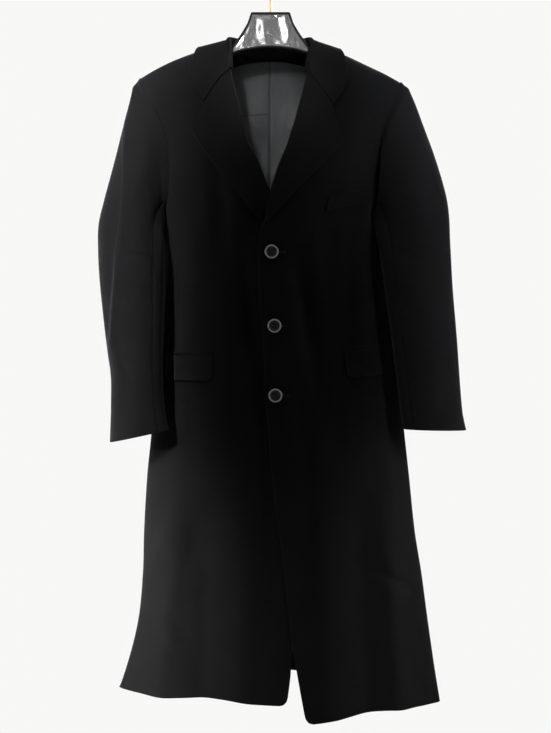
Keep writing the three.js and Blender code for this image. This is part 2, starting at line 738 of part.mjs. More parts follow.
// Moves a point out of the body until it is `clear` of the outer face.
function pushOut(point, clear) {
  const side = point.y < 0 ? -1 : 1;
  const depth = bodyDepth(side, point.x, point.z) + clear;
  const crown = side < 0 ? FRONT_CROWN : BACK_CROWN;
  const top = shoulderZ(point.x);
  const drop = top - point.z;
  if (drop >= crown) {
    point.y = side * Math.max(Math.abs(point.y), depth);
    return point;
  }
  const flat = point.y / depth;
  const tall = (crown - drop) / (crown + clear);
  const reach = Math.hypot(flat, tall);
  if (reach >= 1) return point;
  point.y /= reach;
  point.z = top - crown + (crown - drop) / reach;
  return point;
}

// The body's half depth at (x, z), without the rounding at the shoulder.
function bodyDepth(side, x, z) {
  const { centre, half } = section(z);
  const narrow = Math.sqrt(1 - clamp((x - centre) / half, -1, 1) ** 2);
  const name = side < 0 ? 'front' : 'back';
  const near = along(BODY, 'level', -z, name);
  const out = along(BODY, 'level', -z, `${name}Out`);
  const depth = mix(near, out, smooth((Math.abs(x) - 60) / 90));
  return depth * narrow ** along(BODY, 'level', -z, 'power');
}

function addCollar() {
  const up = new THREE.Vector3(0, 0, 1);
  const columns = COLLAR.map((station) => {
    const top = new THREE.Vector3(station.topX, station.topY, station.topZ);
    if (station.side < 0) top.y = bodyY(-1, station.topX, station.topZ) - COLLAR_ROLL;
    const edge = new THREE.Vector3(station.edgeX, station.edgeY, station.edgeZ);
    const seamY = bodyY(station.side, station.seamX, station.seamZ);
    const out = edge.clone().sub(top).setZ(0).normalize();
    const seam = new THREE.Vector3(station.seamX, seamY, station.seamZ);
    seam.addScaledVector(out, -CLOTH - STAND_INSIDE).addScaledVector(up, SEAM + LAY);
    const inner = top.clone().addScaledVector(out, -COLLAR_FOLD).addScaledVector(up, -COLLAR_FOLD);
    const outer = top.clone().addScaledVector(out, COLLAR_FOLD).addScaledVector(up, -COLLAR_FOLD);
    const points = [seam, seam.clone().lerp(inner, 0.5), inner, top];
    points.push(pushOut(outer, CLOTH + COLLAR_LIFT));
    for (const t of COLLAR_STEPS) {
      const point = outer.clone().lerp(edge, t);
      const bulge = Math.sin(Math.PI * t) * 3;
      point.addScaledVector(out, bulge * 0.6).addScaledVector(up, bulge * 0.6);
      points.push(pushOut(point, CLOTH + COLLAR_LIFT));
    }
    return points;
  });
  const grid = columns[0].map((_, i) => columns.map((points) => points[i]));
  addPiece('collar', wallGeometry(grid, CLOTH), 'wool');
}

function addLapel(name, which) {
  const hand = which === 'right' ? -1 : 1;
  const notch = NOTCHES[which];
  const grid = LAPELS[which].map((row, i) => {
    const inner = { x: edgeX(which, -row.level), z: -row.level };
    const width = Math.hypot(row.outX - inner.x, row.outZ - inner.z);
    const share = smooth(width / ROLL_WIDTH);
    const flat = CLOTH + LAPEL_LIFT;
    return LAPEL_STEPS.map((t) => {
      let x = mix(inner.x, row.outX, t);
      let z = mix(inner.z, row.outZ, t);
      if (i === 0) {
        const low = t < notch.at;
        const part = low ? t / notch.at : (t - notch.at) / (1 - notch.at);
        x = low ? mix(inner.x, notch.x, part) : mix(notch.x, row.outX, part);
        z = low ? mix(inner.z, notch.z, part) : mix(notch.z, row.outZ, part);
      }
      const reach = Math.hypot(x - inner.x, z - inner.z);
      const stand = flat + share * LAPEL_ROLL * Math.exp(-reach / ROLL_FADE);
      if (t > 0) return raised(which, x, z, stand);
      const fold = raised(which, x, z, mix(flat, -LAPEL_SINK, share));
      fold.x -= hand * 0.4;
      return fold;
    });
  });
  if (which === 'right') grid.forEach((row) => row.reverse());
  addPiece(name, wallGeometry(grid, CLOTH), 'wool');
}

// ---------------------------------------------------------------- pockets, lining and buttons

function addPatch([name, which, corners, columns, rows]) {
  const grid = [];
  for (let i = 0; i <= rows; i += 1) {
    const row = [];
    for (let j = 0; j <= columns; j += 1) {
      const across = j / columns;
      const down = i / rows;
      const top = corners[0].map((value, k) => mix(value, corners[1][k], across));
      const low = corners[3].map((value, k) => mix(value, corners[2][k], across));
      const [x, z] = top.map((value, k) => mix(value, low[k], down));
      row.push(raised(which, x, z, TRIM + PATCH_LIFT));
    }
    grid.push(which === 'right' ? row.reverse() : row);
  }
  addPiece(name, wallGeometry(grid, TRIM), 'wool');
}

function addLining(name, hand) {
  const grid = [];
  for (let i = 0; i <= LINING.rows; i += 1) {
    const row = [];
    for (let j = 0; j <= LINING.columns; j += 1) {
      const x = LINING.seam + hand * mix(SEAM / 2, LINING.half, j / LINING.columns);
      const top = Math.max(neckLevel(x) + 5, -shoulderZ(x) + 27);
      const z = -mix(top, LINING.bottom, i / LINING.rows);
      const lined = offSurface(1, (px, pz) => bodyY(1, px, pz), x, z, -CLOTH - LINING.inside);
      lined.x = x;
      row.push(lined);
    }
    grid.push(hand > 0 ? row : row.reverse());
  }
  const keep = (place) => {
    const off = hand * (place.x - LINING.seam);
    if (off < SEAM / 2) place.x = LINING.seam + (hand * SEAM) / 2;
    return place;
  };
  addPiece(name, wallGeometry(grid, SATIN, gridNormals(grid), keep), 'satin');
}

function asManifold(geometry) {
  const plain = geometry.clone();
  plain.deleteAttribute('normal');
  plain.deleteAttribute('uv');
  const merged = mergeVertices(plain, 1e-4);
  const mesh = new wasm.Mesh({
    numProp: 3,
    vertProperties: new Float32Array(merged.attributes.position.array),
    triVerts: new Uint32Array(merged.index.array),
  });
  return new wasm.Manifold(mesh);
}

function fromManifold(solid) {
  const mesh = solid.getMesh();
  const geometry = new THREE.BufferGeometry();
  geometry.setAttribute('position', new THREE.BufferAttribute(mesh.vertProperties, 3));
  geometry.setIndex(new THREE.BufferAttribute(mesh.triVerts, 1));
  return geometry;
}

// A four-hole button with a raised rim. Its axis is +Y before it is placed.
function buttonGeometry() {
  const { radius, thick, rim, dish, hole, spread } = BUTTON;
  const profile = [
    [0, 0],
    [radius - 1.6, 0],
    [radius, thick * 0.45],
    [radius - 0.7, thick],
    [radius - rim, thick],
    [radius - rim - 1, thick - dish],
    [0, thick - dish],
  ].map(([x, y]) => new THREE.Vector2(x, y));
  let solid = asManifold(new THREE.LatheGeometry(profile, 20));
  for (const [sx, sz] of [[-1, -1], [-1, 1], [1, -1], [1, 1]]) {
    const drill = new THREE.CylinderGeometry(hole, hole, thick * 4, 6);
    drill.translate(sx * spread, 0, sz * spread);
    solid = solid.subtract(asManifold(drill));
  }
  return fromManifold(solid);
}

function addButton(row) {
  const outside = raised('left', row.x, row.z, 10);
  const seat = raised('left', row.x, row.z, LAY);
  const axis = outside.sub(seat).normalize();
  const button = addPiece(`button_${row.name}`, buttonGeometry(), 'horn');
  button.position.copy(seat);
  button.quaternion.setFromUnitVectors(new THREE.Vector3(0, 1, 0), axis);
}

// ---------------------------------------------------------------- hanger

function addPlate() {
  const shape = new THREE.Shape();
  const left = PLATE_OUTLINE.map(([x, z]) => [-x, z]).reverse();
  const outline = [...PLATE_OUTLINE, ...left];
  const grown = PLATE.bevel;
  shape.moveTo(PLATE_OUTLINE[0][0] - grown, PLATE_OUTLINE[0][1] - grown);
  for (const [x, z] of outline.slice(1)) {
    if (x === -PLATE_OUTLINE[5][0] && z === PLATE_OUTLINE[5][1]) {
      shape.quadraticCurveTo(0, 2 * PLATE_ARCH - z + grown, x + grown, z + grown);
    } else {
      const dz = z < -150 ? grown : z > -80 ? -grown : 0;
      shape.lineTo(x - Math.sign(x) * grown, z + dz);
    }
  }
  const plate = new THREE.ExtrudeGeometry(shape, {
    depth: PLATE.thick - 2 * grown,
    bevelThickness: grown,
    bevelSize: grown,
    bevelSegments: 1,
    curveSegments: 6,
  });
  plate.rotateX(Math.PI / 2);
  plate.translate(0, PLATE.front + PLATE.thick - grown, 0);
  addPiece('hanger_plate', plate, 'plastic');
}

function addArm(name, hand) {
  const around = 12;
  const rings = ARM.map((row) => {
    const ring = [];
    const slope = (shoulderZ(hand * row.x + 2) - shoulderZ(hand * row.x - 2)) / 4;
    const cloth = (CLOTH + ARM_GAP) * Math.hypot(1, slope);
    const top = shoulderZ(hand * row.x) - cloth - row.lower;
    for (let k = 0; k < around; k += 1) {
      const turn = (2 * Math.PI * k) / around;
      const z = top - row.height / 2 + (row.height / 2) * Math.cos(turn);
      ring.push(new THREE.Vector3(hand * row.x, hand * row.depth * Math.sin(turn), z));
    }
    return ring;
  });
  const points = rings.flat();
  const index = [];
  for (let i = 0; i < rings.length - 1; i += 1) {
    for (let k = 0; k < around; k += 1) {
      const a = i * around + k;
      const b = i * around + ((k + 1) % around);
      index.push(a, a + around, b + around, a, b + around, b);
    }
  }
  const last = (rings.length - 1) * around;
  for (let k = 1; k < around - 1; k += 1) {
    index.push(0, k, k + 1);
    index.push(last, last + k + 1, last + k);
  }
  const geometry = new THREE.BufferGeometry();
  const positions = points.flatMap((point) => [point.x, point.y, point.z]);
  geometry.setAttribute('position', new THREE.Float32BufferAttribute(positions, 3));
  geometry.setIndex(index);
  addPiece(name, geometry, 'plastic');
}

function addHook() {
  const centre = -HOOK.bend + HOOK.wire;
  const points = [new THREE.Vector3(0, 0, PLATE_OUTLINE[0][1] + SEAM)];
  points.push(new THREE.Vector3(0, 0, -HOOK.stem - 8));
  points.push(new THREE.Vector3(0, -3, -HOOK.stem));
  for (let turn = 235; turn >= -HOOK.tip; turn -= 15) {
    const angle = radians(turn);
    const y = HOOK.bend * Math.cos(angle);
    points.push(new THREE.Vector3(0, y, centre + HOOK.bend * Math.sin(angle)));
  }
  const path = new THREE.CatmullRomCurve3(points);
  const wire = new THREE.Shape();
  wire.absarc(0, 0, HOOK.wire, 0, 2 * Math.PI);
  const geometry = new THREE.ExtrudeGeometry(wire, { extrudePath: path, steps: 30, curveSegments: 4 });
  addPiece('hanger_hook', geometry, 'brass');
}

// ---------------------------------------------------------------- the whole

addFront('right_front', 'right');
addFront('left_front', 'left');
addBack('right_back', 'right');
addBack('left_back', 'left');
addSleeve('right_upper_sleeve', 'right', UPPER_SLEEVE);
addSleeve('right_under_sleeve', 'right', UNDER_SLEEVE);
addSleeve('left_upper_sleeve', 'left', UPPER_SLEEVE);
addSleeve('left_under_sleeve', 'left', UNDER_SLEEVE);
addCollar();
addLapel('right_lapel', 'right');
addLapel('left_lapel', 'left');
PATCHES.forEach(addPatch);
addLining('right_back_lining', -1);
addLining('left_back_lining', 1);
BUTTONS.forEach(addButton);
addPlate();
addArm('hanger_right_arm', -1);
addArm('hanger_left_arm', 1);
addHook();

export default overcoat;
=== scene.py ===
import bmesh
import bpy
import math
import numpy as np
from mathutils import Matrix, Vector


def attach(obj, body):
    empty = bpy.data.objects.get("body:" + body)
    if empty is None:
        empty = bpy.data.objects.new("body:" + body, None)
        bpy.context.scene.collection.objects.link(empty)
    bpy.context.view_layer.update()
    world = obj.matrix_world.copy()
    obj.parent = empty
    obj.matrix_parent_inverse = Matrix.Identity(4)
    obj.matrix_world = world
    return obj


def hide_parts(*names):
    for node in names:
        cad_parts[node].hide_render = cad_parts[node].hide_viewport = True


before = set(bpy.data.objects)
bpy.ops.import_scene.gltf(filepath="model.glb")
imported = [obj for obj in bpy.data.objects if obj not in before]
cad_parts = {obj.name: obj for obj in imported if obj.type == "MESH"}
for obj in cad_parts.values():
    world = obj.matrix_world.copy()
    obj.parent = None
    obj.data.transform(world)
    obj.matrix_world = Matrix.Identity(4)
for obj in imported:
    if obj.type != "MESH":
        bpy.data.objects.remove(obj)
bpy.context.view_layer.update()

# ------------------------------------------------------------------ sizes, as in the part

# Thickness of the walls, and the gap between two pieces at a seam.
CLOTH, TRIM, SATIN = 2.6, 2.0, 1.0
SEAM = 0.3
FRONT_CROWN, BACK_CROWN = 90.0, 70.0
NECK_HALF, NECK_DROP, NECK_RISE = 78.0, 150.0, 17.0
CENTRE_BACK = -5.0
VENT_TOP, VENT_LAP, VENT_SINK = 905.0, 34.0, 5.0
# Where a panel's skirt starts, and the level past which a fold runs out at the hem.
SKIRT_LEVEL, HEM_REACHED, HEM_CORNER = 1140.0, 1280, 14.0
# How far in a front's edge lies where the lapel rolls over it, and between which levels.
ROLL_INSET, ROLL_START, ROLL_END = 5.5, 160, 458
UNDERARM = 462.0


HAND = {"right": -1, "left": 1}


def table(columns, *rows):
    names = columns.split()
    return {name: np.array([row[i] for row in rows], float) for i, name in enumerate(names)}


# The body level by level: its sides, its depth in the middle and 150 mm out, and how it rounds off.
BODY = table(
    "level left right front frontOut back backOut power",
    (90, -296, 286, 10, 78, 44, 70, 1.25),
    (133, -296, 286, 22, 78, 52, 70, 1.25),
    (175, -294, 284, 40, 79, 60, 71, 1.25),
    (215, -288, 278, 53, 80, 66, 72, 1.25),
    (260, -276, 266, 66, 81, 71, 73, 1.25),
    (330, -250, 241, 82, 84, 77, 77, 1.25),
    (400, -226, 218, 91, 91, 81, 81, 1.25),
    (462, -201, 197, 94, 94, 84, 84, 1.35),
    (520, -204, 208, 94, 94, 84, 84, 1.8),
    (590, -208, 218, 93, 93, 84, 84, 2),
    (690, -214, 230, 92, 92, 83, 83, 2),
    (747, -217, 237, 91, 91, 82, 82, 1.95),
    (847, -220, 247, 90, 90, 80, 80, 1.6),
    (930, -228, 256, 90, 90, 78, 78, 1.45),
    (1035, -234, 267, 89, 89, 76, 76, 1.4),
    (1110, -236, 279, 89, 89, 74, 74, 1.4),
    (1200, -245, 291, 88, 88, 72, 72, 1.45),
    (1290, -268, 304, 88, 88, 70, 70, 1.5),
    (1375, -300, 318, 88, 88, 68, 68, 1.5),
)
SHOULDER = table(
    "x z",
    (-300, -262), (-275, -232), (-250, -206), (-223, -188), (-182, -167.5), (-129, -148), (-78, -132),
    (0, -110), (78, -133), (123, -150), (184, -177.5), (217, -193), (250, -213), (275, -238), (300, -268),
)
# The armhole's x on the front and the back, from the shoulder down to the underarm.
ARMHOLE = {
    "right": table(
        "level front back",
        (198, -238, -238), (224, -231, -235), (256, -211, -226), (290, -196, -217), (330, -186, -210),
        (375, -183, -206), (415, -185, -203), (445, -193, -201), (462, -201, -201),
    ),
    "left": table(
        "level front back",
        (205, 238, 238), (233, 233, 235), (265, 218, 226), (291, 208, 218), (330, 202, 212),
        (375, 199, 207), (415, 197, 203), (445, 196, 199), (462, 197, 197),
    ),
}
# Where the lapel folds and, below it, the front's free edge.
FRONT_EDGE = {
    "right": table(
        "level x",
        (132, -78), (158, -75), (181, -72), (196, -71), (258, -56), (332, -38), (362, -23), (412, -3),
        (455, 22), (500, 28), (700, 30), (900, 33), (1100, 36), (1262, 37), (1330, 30),
    ),
    "left": table(
        "level x",
        (133, 78), (158, 71), (177, 67), (200, 66), (258, 51.5), (330, 31.5), (382, 11), (418, 1),
        (467, -13), (500, -19.5), (612, -19.9), (656, -15), (780, -9), (842, -4), (943, 5), (1020, 15),
        (1090, 24), (1155, 31), (1215, 38), (1261, 45), (1358, 62),
    ),
}
# How the right front dips under the left one.
LAP_START, LAP_FULL = 62.0, 6.0
LAP = table("level depth", (100, 0), (290, 0), (395, 10.4), (490, 10.4), (545, 5.6), (1400, 5.2))
HEM = {
    "right": table("x level", (-300, 1322), (-194, 1325), (-105, 1322), (36, 1333)),
    "left": table("x level", (40, 1366), (125, 1357), (197, 1349), (318, 1349)),
    "back": table("x level", (-300, 1322), (-150, 1313), (0, 1308), (150, 1321), (318, 1349)),
}
# How a panel's rows run down its armhole, how far along its inner edge, and how level they lie.
TOP_ROWS = table(
    "arm edge level",
    (0, 0, 0), (0.07, 9, 0), (0.15, 26, 0.02), (0.25, 52, 0.08), (0.37, 95, 0.25), (0.5, 143, 0.5),
    (0.63, 193, 0.75), (0.76, 240, 0.92), (0.88, 285, 1), (1, 325, 1),
)
# Large folds as in the part: from one end to the other, width, and depth if they sink.
FRONT_FOLDS = table(
    "x1 level1 x2 level2 width depth",
    (-118, 330, -72, 690, 20, 6),
    (-150, 420, -128, 640, 17, -5),
    (-160, 880, -196, 1290, 26, -9),
    (-105, 900, -118, 1325, 24, 8),
    (-52, 840, -40, 1325, 26, -6),
    (40, 470, 100, 840, 22, 6),
    (140, 420, 122, 660, 18, -5),
    (88, 900, 92, 1350, 24, -7),
    (150, 860, 172, 1345, 26, 9),
    (205, 900, 236, 1340, 20, -9),
    (168, 1091, 275, 1150, 12, 4),
)
BACK_FOLDS = table(
    "x1 level1 x2 level2 width depth",
    (-130, 300, -100, 620, 26, 6),
    (128, 310, 96, 640, 26, 6),
    (-150, 760, -182, 1310, 28, -9),
    (-88, 820, -96, 1312, 26, 8),
    (92, 820, 104, 1315, 26, 8),
    (160, 770, 200, 1330, 28, -9),
    (-40, 560, -52, 900, 22, -4),
    (44, 570, 40, 905, 22, -4),
)
# Rings of both sleeves from the armhole to the cuff: how far forward, the depth ahead and behind,
# how far the front bows inwards, and the tilt. After them, the outer and inner end of each ring.
SLEEVE_RINGS = table(
    "middle front back bow tilt",
    (-3, 52, 48, 26, 0), (-7, 55, 48, 14, 2), (-11, 56, 48, 6, 5), (-16, 56, 48, 2, 9),
    (-22, 55, 47, 0, 12), (-28, 54, 46, 0, 13), (-33, 52, 46, 0, 13), (-38, 50, 44, 0, 13),
    (-44, 48, 43, 0, 12), (-50, 46, 42, 0, 10), (-55, 45, 41, 0, 8), (-60, 44, 41, 0, 4),
    (-64, 43, 40, 0, 0),
)
SLEEVE_ENDS = {
    "right": table(
        "outX outZ inX inZ",
        (-254, -214, -205, -469), (-262, -250, -204, -480), (-275, -305, -203, -492),
        (-290, -365, -200, -506), (-305, -424, -197, -522), (-314, -470, -194, -541),
        (-315, -515, -192, -562), (-311, -580, -192, -602), (-303, -645, -193, -656),
        (-294, -705, -194, -711), (-287, -752, -193, -752), (-286, -805, -190, -800),
        (-287, -865, -182, -843),
    ),
    "left": table(
        "outX outZ inX inZ",
        (255, -217, 200, -469), (266, -245, 200.5, -479), (283, -292, 200.5, -490),
        (302, -346, 200, -502), (318, -402, 199.5, -516), (326, -452, 200, -534),
        (328.5, -512, 202, -556), (331, -578, 206, -594), (335, -649, 214, -653),
        (338.5, -706, 221, -709), (341, -760, 228, -760), (345, -812, 233.5, -808),
        (350.5, -843, 237.5, -842),
    ),
}
SLEEVES = {
    which: {
        "step": np.arange(1.0, len(ends["outX"]) + 1),
        **ends,
        **SLEEVE_RINGS,
        "bow": -HAND[which] * SLEEVE_RINGS["bow"],
    }
    for which, ends in SLEEVE_ENDS.items()
}
SEAM_TURN = 0.2
# The right sleeve's pressed edge, and the lobe of its outer part that falls back behind it.
SLEEVE_EDGE = table("level x", (300, -262), (420, -262), (520, -270), (600, -276), (700, -286))
LOBE_BACK, LOBE_WIDTH, LOBE_TOP, LOBE_BOTTOM = 13.0, 9.0, 300.0, 730.0
# Stations of the collar round the neck: on the front or back, its seam, fold and free edge.
COLLAR = table(
    "side seamX seamZ topX topY topZ edgeX edgeY edgeZ",
    (-1, 66.5, -192, 66.5, -44, -194, 111.5, -68, -263),
    (-1, 67, -184, 67, -40, -184, 127, -64, -243),
    (-1, 68, -172, 68.5, -33, -170, 140, -58, -224),
    (-1, 72, -158, 72, -23, -152, 137, -42, -198),
    (-1, 76, -143, 77, -10, -135, 130, -20, -168),
    (1, 79, -133.8, 74.5, 6, -119, 118, 8, -146),
    (1, 67, -139, 62, 30, -113.5, 92, 46, -156),
    (1, 36, -147, 34, 46, -111, 50, 74, -163),
    (1, -3, -149.7, -3, 51, -110, -3, 80, -165),
    (1, -42, -147, -40, 46, -111, -56, 74, -163),
    (1, -70, -139, -63, 30, -113.5, -98, 46, -155),
    (1, -77.5, -132.6, -77, 6, -118.5, -124, 8, -143),
    (-1, -75, -143, -76.5, -10, -133, -134, -20, -163),
    (-1, -73, -158, -74.5, -23, -152, -140, -42, -190),
    (-1, -72, -172, -73, -33, -170, -146, -56, -214),
    (-1, -71.5, -184, -72, -40, -184, -133, -62, -237),
    (-1, -71, -190, -71.5, -42, -190, -119, -66, -258),
)
COLLAR_FOLD, COLLAR_ROLL, STAND_INSIDE, COLLAR_LIFT, COLLAR_FLARE = 4.2, 8.5, 1.3, 4.6, 1.4
LAY = 0.4
# Each level of a lapel's fold, and the point of its free edge that lies level with it.
LAPELS = {
    "right": table(
        "level outX outZ",
        (194.5, -141.6, -293.3), (225, -134, -317), (258, -119.5, -342), (300, -97, -373),
        (340, -72, -405), (375, -48, -435), (402, -30, -458), (420, -17, -468),
    ),
    "left": table(
        "level outX outZ",
        (198, 134.7, -312.4), (225, 129.3, -325.3), (258, 108, -352), (300, 84, -380),
        (340, 60, -404), (385, 35, -429), (425, 13, -453), (456, -4, -472),
    ),
}
# The notch on a lapel's upper edge: how far along it, and where.
NOTCHES = {"right": (0.68, -119, -260), "left": (0.66, 111.7, -265.4)}
LAPEL_LIFT, LAPEL_ROLL, ROLL_FADE, ROLL_WIDTH, LAPEL_SINK = 2.0, 5.0, 16.0, 90.0, 1.2
# The front that each pocket piece lies on, and its corners: upper ones first, then lower ones.
PATCHES = {
    "chest_welt": ("left", ((104, -430), (170, -410), (177, -432), (98, -457))),
    "right_pocket_jet": ("right", ((-101, -703), (-187, -701), (-187, -707), (-101, -709))),
    "right_pocket_flap": ("right", ((-101, -710), (-187, -708), (-188, -755), (-103, -758))),
    "left_pocket_jet": ("left", ((133, -696), (200, -690), (201, -696), (133, -702))),
    "left_pocket_flap": ("left", ((133, -703), (202, -697), (210, -744), (135, -752))),
}
PATCH_LIFT = 0.9
BUTTONS = {"top": (2.4, -527.5), "middle": (7.3, -658.0), "bottom": (9.1, -781.0)}
LINING_HALF, LINING_BOTTOM, LINING_SEAM, LINING_INSIDE = 118.0, 525.0, -1.5, 4.8

# ------------------------------------------------------------------ curves and the body's surface


def mix(a, b, t):
    return a + (b - a) * t


def smooth(t):
    t = np.clip(t, 0, 1)
    return t * t * (3 - 2 * t)


def along(rows, key, at, column):
    """A column of a table at any place along its key column, on a smooth curve through the rows."""
    keys, values = rows[key], rows[column]
    last = len(keys) - 1
    at = np.asarray(at, float)
    i = np.clip(np.searchsorted(keys, at, side="left") - 1, 0, last - 1)
    before, after = np.maximum(np.arange(last + 1) - 1, 0), np.minimum(np.arange(last + 1) + 1, last)
    slopes = (values[after] - values[before]) / (keys[after] - keys[before])
    span = keys[i + 1] - keys[i]
    t = np.clip((at - keys[i]) / span, 0, 1)
    bend = slopes[i] * span * t * (1 - t) ** 2 - slopes[i + 1] * span * t**2 * (1 - t)
    return mix(values[i], values[i + 1], t * t * (3 - 2 * t)) + bend


def bell(off, width):
    return np.exp(-((off / width) ** 2))


def unit(v):
    return v / np.maximum(np.linalg.norm(v, axis=-1, keepdims=True), 1e-9)


def stack(x, y, z):
    x, y, z = np.broadcast_arrays(x, y, z)
    return np.stack([x, y, z], axis=-1).astype(float)


def shoulder_z(x):
    return along(SHOULDER, "x", x, "z")


def section(z):
    """Middle and half width of the body at a height."""
    left, right = along(BODY, "level", -z, "left"), along(BODY, "level", -z, "right")
    return (left + right) / 2, (right - left) / 2


def side_x(which, z):
    centre, half = section(z)
    return centre + HAND[which] * half


def angle_at(x, z):
    centre, half = section(z)
    return np.arcsin(np.clip((x - centre) / half, -1, 1))


def beside_line(x, y, dx, dy):
    """For a point from a line's start: the share of the line that it has passed, and how far off it is."""
    length = math.hypot(dx, dy)
    return (x * dx + y * dy) / length**2, (x * dy - y * dx) / length


def line_sum(folds, x, z):
    """Soft troughs and ridges along lines, fading at both ends unless they run out at the hem."""
    total = np.zeros(np.broadcast(x, z).shape)
    for x1, l1, x2, l2, width, depth in zip(*folds.values()):
        t, off = beside_line(x - x1, z + l1, x2 - x1, l1 - l2)
        to_hem = 1 if l2 > HEM_REACHED else np.sin(np.pi * np.clip(t, 0, 1))
        total = total + depth * smooth(t * 2.5) * to_hem * bell(off, width)
    return total


def body_depth(side, x, z):
    centre, half = section(z)
    narrow = np.sqrt(np.clip(1 - ((x - centre) / half) ** 2, 0, 1))
    name = "front" if side < 0 else "back"
    near, out = along(BODY, "level", -z, name), along(BODY, "level", -z, name + "Out")
    depth = mix(near, out, smooth((np.abs(x) - 60) / 90))
    return depth * narrow ** along(BODY, "level", -z, "power"), narrow


def body_y(side, x, z):
    """The plain surface of the body's front or back, with its large folds, as in the part."""
    depth, narrow = body_depth(side, x, z)
    crown = FRONT_CROWN if side < 0 else BACK_CROWN
    drop = np.clip(shoulder_z(x) - z, 0, crown)
    rounding = np.sqrt(np.clip(1 - (1 - drop / crown) ** 2, 0, 1))
    folds = FRONT_FOLDS if side < 0 else BACK_FOLDS
    fold = line_sum(folds, x, z) * smooth(narrow * 1.6)
    return side * np.maximum(depth * rounding - fold, 0)


def edge_x(which, z):
    return along(FRONT_EDGE[which], "level", -z, "x")


def lap_depth(x, z):
    near = smooth((x - edge_x("left", z) + LAP_START) / (LAP_START - LAP_FULL))
    return along(LAP, "level", -z, "depth") * near


def front_y(which, x, z):
    under = lap_depth(x, z) if which == "right" else 0
    return body_y(-1, x, z) + under


def off_surface(side, surface, x, z, amount):
    """Points that stand off a surface, along its normals."""
    step = 2.0
    slope_x = (surface(x + step, z) - surface(x - step, z)) / (2 * step)
    slope_z = (surface(x, z + step) - surface(x, z - step)) / (2 * step)
    out = unit(stack(-side * slope_x, side, -side * slope_z))
    return stack(x, surface(x, z), z) + out * np.asarray(amount, float)[..., None]


def raised(which, x, z, amount):
    return off_surface(-1, lambda px, pz: front_y(which, px, pz), x, z, amount)


def ripple(x, z, size, seed):
    """Gentle unevenness of hanging cloth: a few long waves with fixed phases, from -1 to 1."""
    a, b = x / size, z / size
    return (
        np.sin(a * 1.3 + b * 0.7 + seed) + np.sin(a * 2.1 - b * 1.1 + 2.3 * seed)
        + 0.6 * np.sin(a * 3.7 + b * 1.9 + 4.1 * seed) + 0.5 * np.sin(-a * 2.9 + b * 3.3 + 1.7 * seed)
    ) / 3.1


def grid_normals(grid):
    down = np.empty_like(grid)
    down[1:-1], down[0], down[-1] = grid[2:] - grid[:-2], grid[1] - grid[0], grid[-1] - grid[-2]
    over = np.empty_like(grid)
    over[:, 1:-1] = grid[:, 2:] - grid[:, :-2]
    over[:, 0], over[:, -1] = grid[:, 1] - grid[:, 0], grid[:, -1] - grid[:, -2]
    return unit(np.cross(down, over))


# ------------------------------------------------------------------ meshes from grids


def add_to_scene(name, data):
    made = bpy.data.objects.new(name, data)
    bpy.context.scene.collection.objects.link(made)
    return made


def make_object(name, verts, faces, materials, face_material=None):
    mesh = bpy.data.meshes.new(name)
    mesh.from_pydata((np.asarray(verts) * 0.001).tolist(), [], faces)
    for material in materials:
        mesh.materials.append(material)
    if face_material is not None:
        mesh.polygons.foreach_set("material_index", np.asarray(face_material, np.int32))
    mesh.polygons.foreach_set("use_smooth", np.ones(len(mesh.polygons), bool))
    mesh.update()
    return add_to_scene(name, mesh)


def quads(rows, columns, shift=0, flip=False):
    """The faces of a grid of points, counted row by row."""
    i, j = np.meshgrid(np.arange(rows - 1), np.arange(columns - 1), indexing="ij")
    a = (i * columns + j).ravel() + shift
    faces = np.stack([a, a + columns, a + columns + 1, a + 1], axis=1)
    return faces[:, ::-1] if flip else faces


def shell(name, grid, thick, materials, normals=None, rounding=1.0, inside=None, keep=None):
    """A wall of cloth whose outer face is the grid, with rounded edges. `inside` tells which
    points of its inner face have the first material, and the others have the second."""
    rows, columns = grid.shape[:2]
    normals = grid_normals(grid) if normals is None else normals
    outer = grid.copy()
    away = np.zeros_like(grid)
    away[0] += unit(grid[0] - grid[1])
    away[-1] += unit(grid[-1] - grid[-2])
    away[:, 0] += unit(grid[:, 0] - grid[:, 1])
    away[:, -1] += unit(grid[:, -1] - grid[:, -2])
    away = away - normals * np.sum(away * normals, axis=-1, keepdims=True)
    rounding = np.broadcast_to(np.asarray(rounding, float), (rows, columns))[..., None]
    outer -= away * rounding
    inner = outer - normals * thick
    loop = [(i, 0) for i in range(rows)] + [(rows - 1, j) for j in range(1, columns)]
    loop += [(i, columns - 1) for i in range(rows - 2, -1, -1)] + [(0, j) for j in range(columns - 2, 0, -1)]
    li, lj = np.array(loop).T
    arcs = []
    for turn in (45, 90, 135):
        c, s = math.cos(math.radians(turn)), math.sin(math.radians(turn))
        middle = (outer[li, lj] + inner[li, lj]) / 2
        arcs.append(middle + normals[li, lj] * (thick / 2 * c) + away[li, lj] * rounding[li, lj] * s)
    if keep is not None:
        outer, inner, arcs = keep(outer), keep(inner), [keep(arc) for arc in arcs]
    count, n = rows * columns, len(loop)
    verts = np.concatenate([outer.reshape(-1, 3), inner.reshape(-1, 3)] + arcs)
    faces = [quads(rows, columns), quads(rows, columns, count, flip=True)]
    rings = [li * columns + lj] + [2 * count + k * n + np.arange(n) for k in range(3)]
    rings.append(count + li * columns + lj)
    for upper, lower in zip(rings[:-1], rings[1:]):
        nxt, low = np.roll(upper, -1), np.roll(lower, -1)
        faces.append(np.stack([upper, lower, low, nxt], axis=1))
    material = [np.zeros(len(part), np.int32) for part in faces]
    if inside is not None:
        centre = (inner[:-1, :-1] + inner[1:, 1:]) / 2
        material[1] = np.where(inside(centre).reshape(-1), 0, 1)
    return make_object(name, verts, np.concatenate(faces).tolist(), materials, np.concatenate(material))


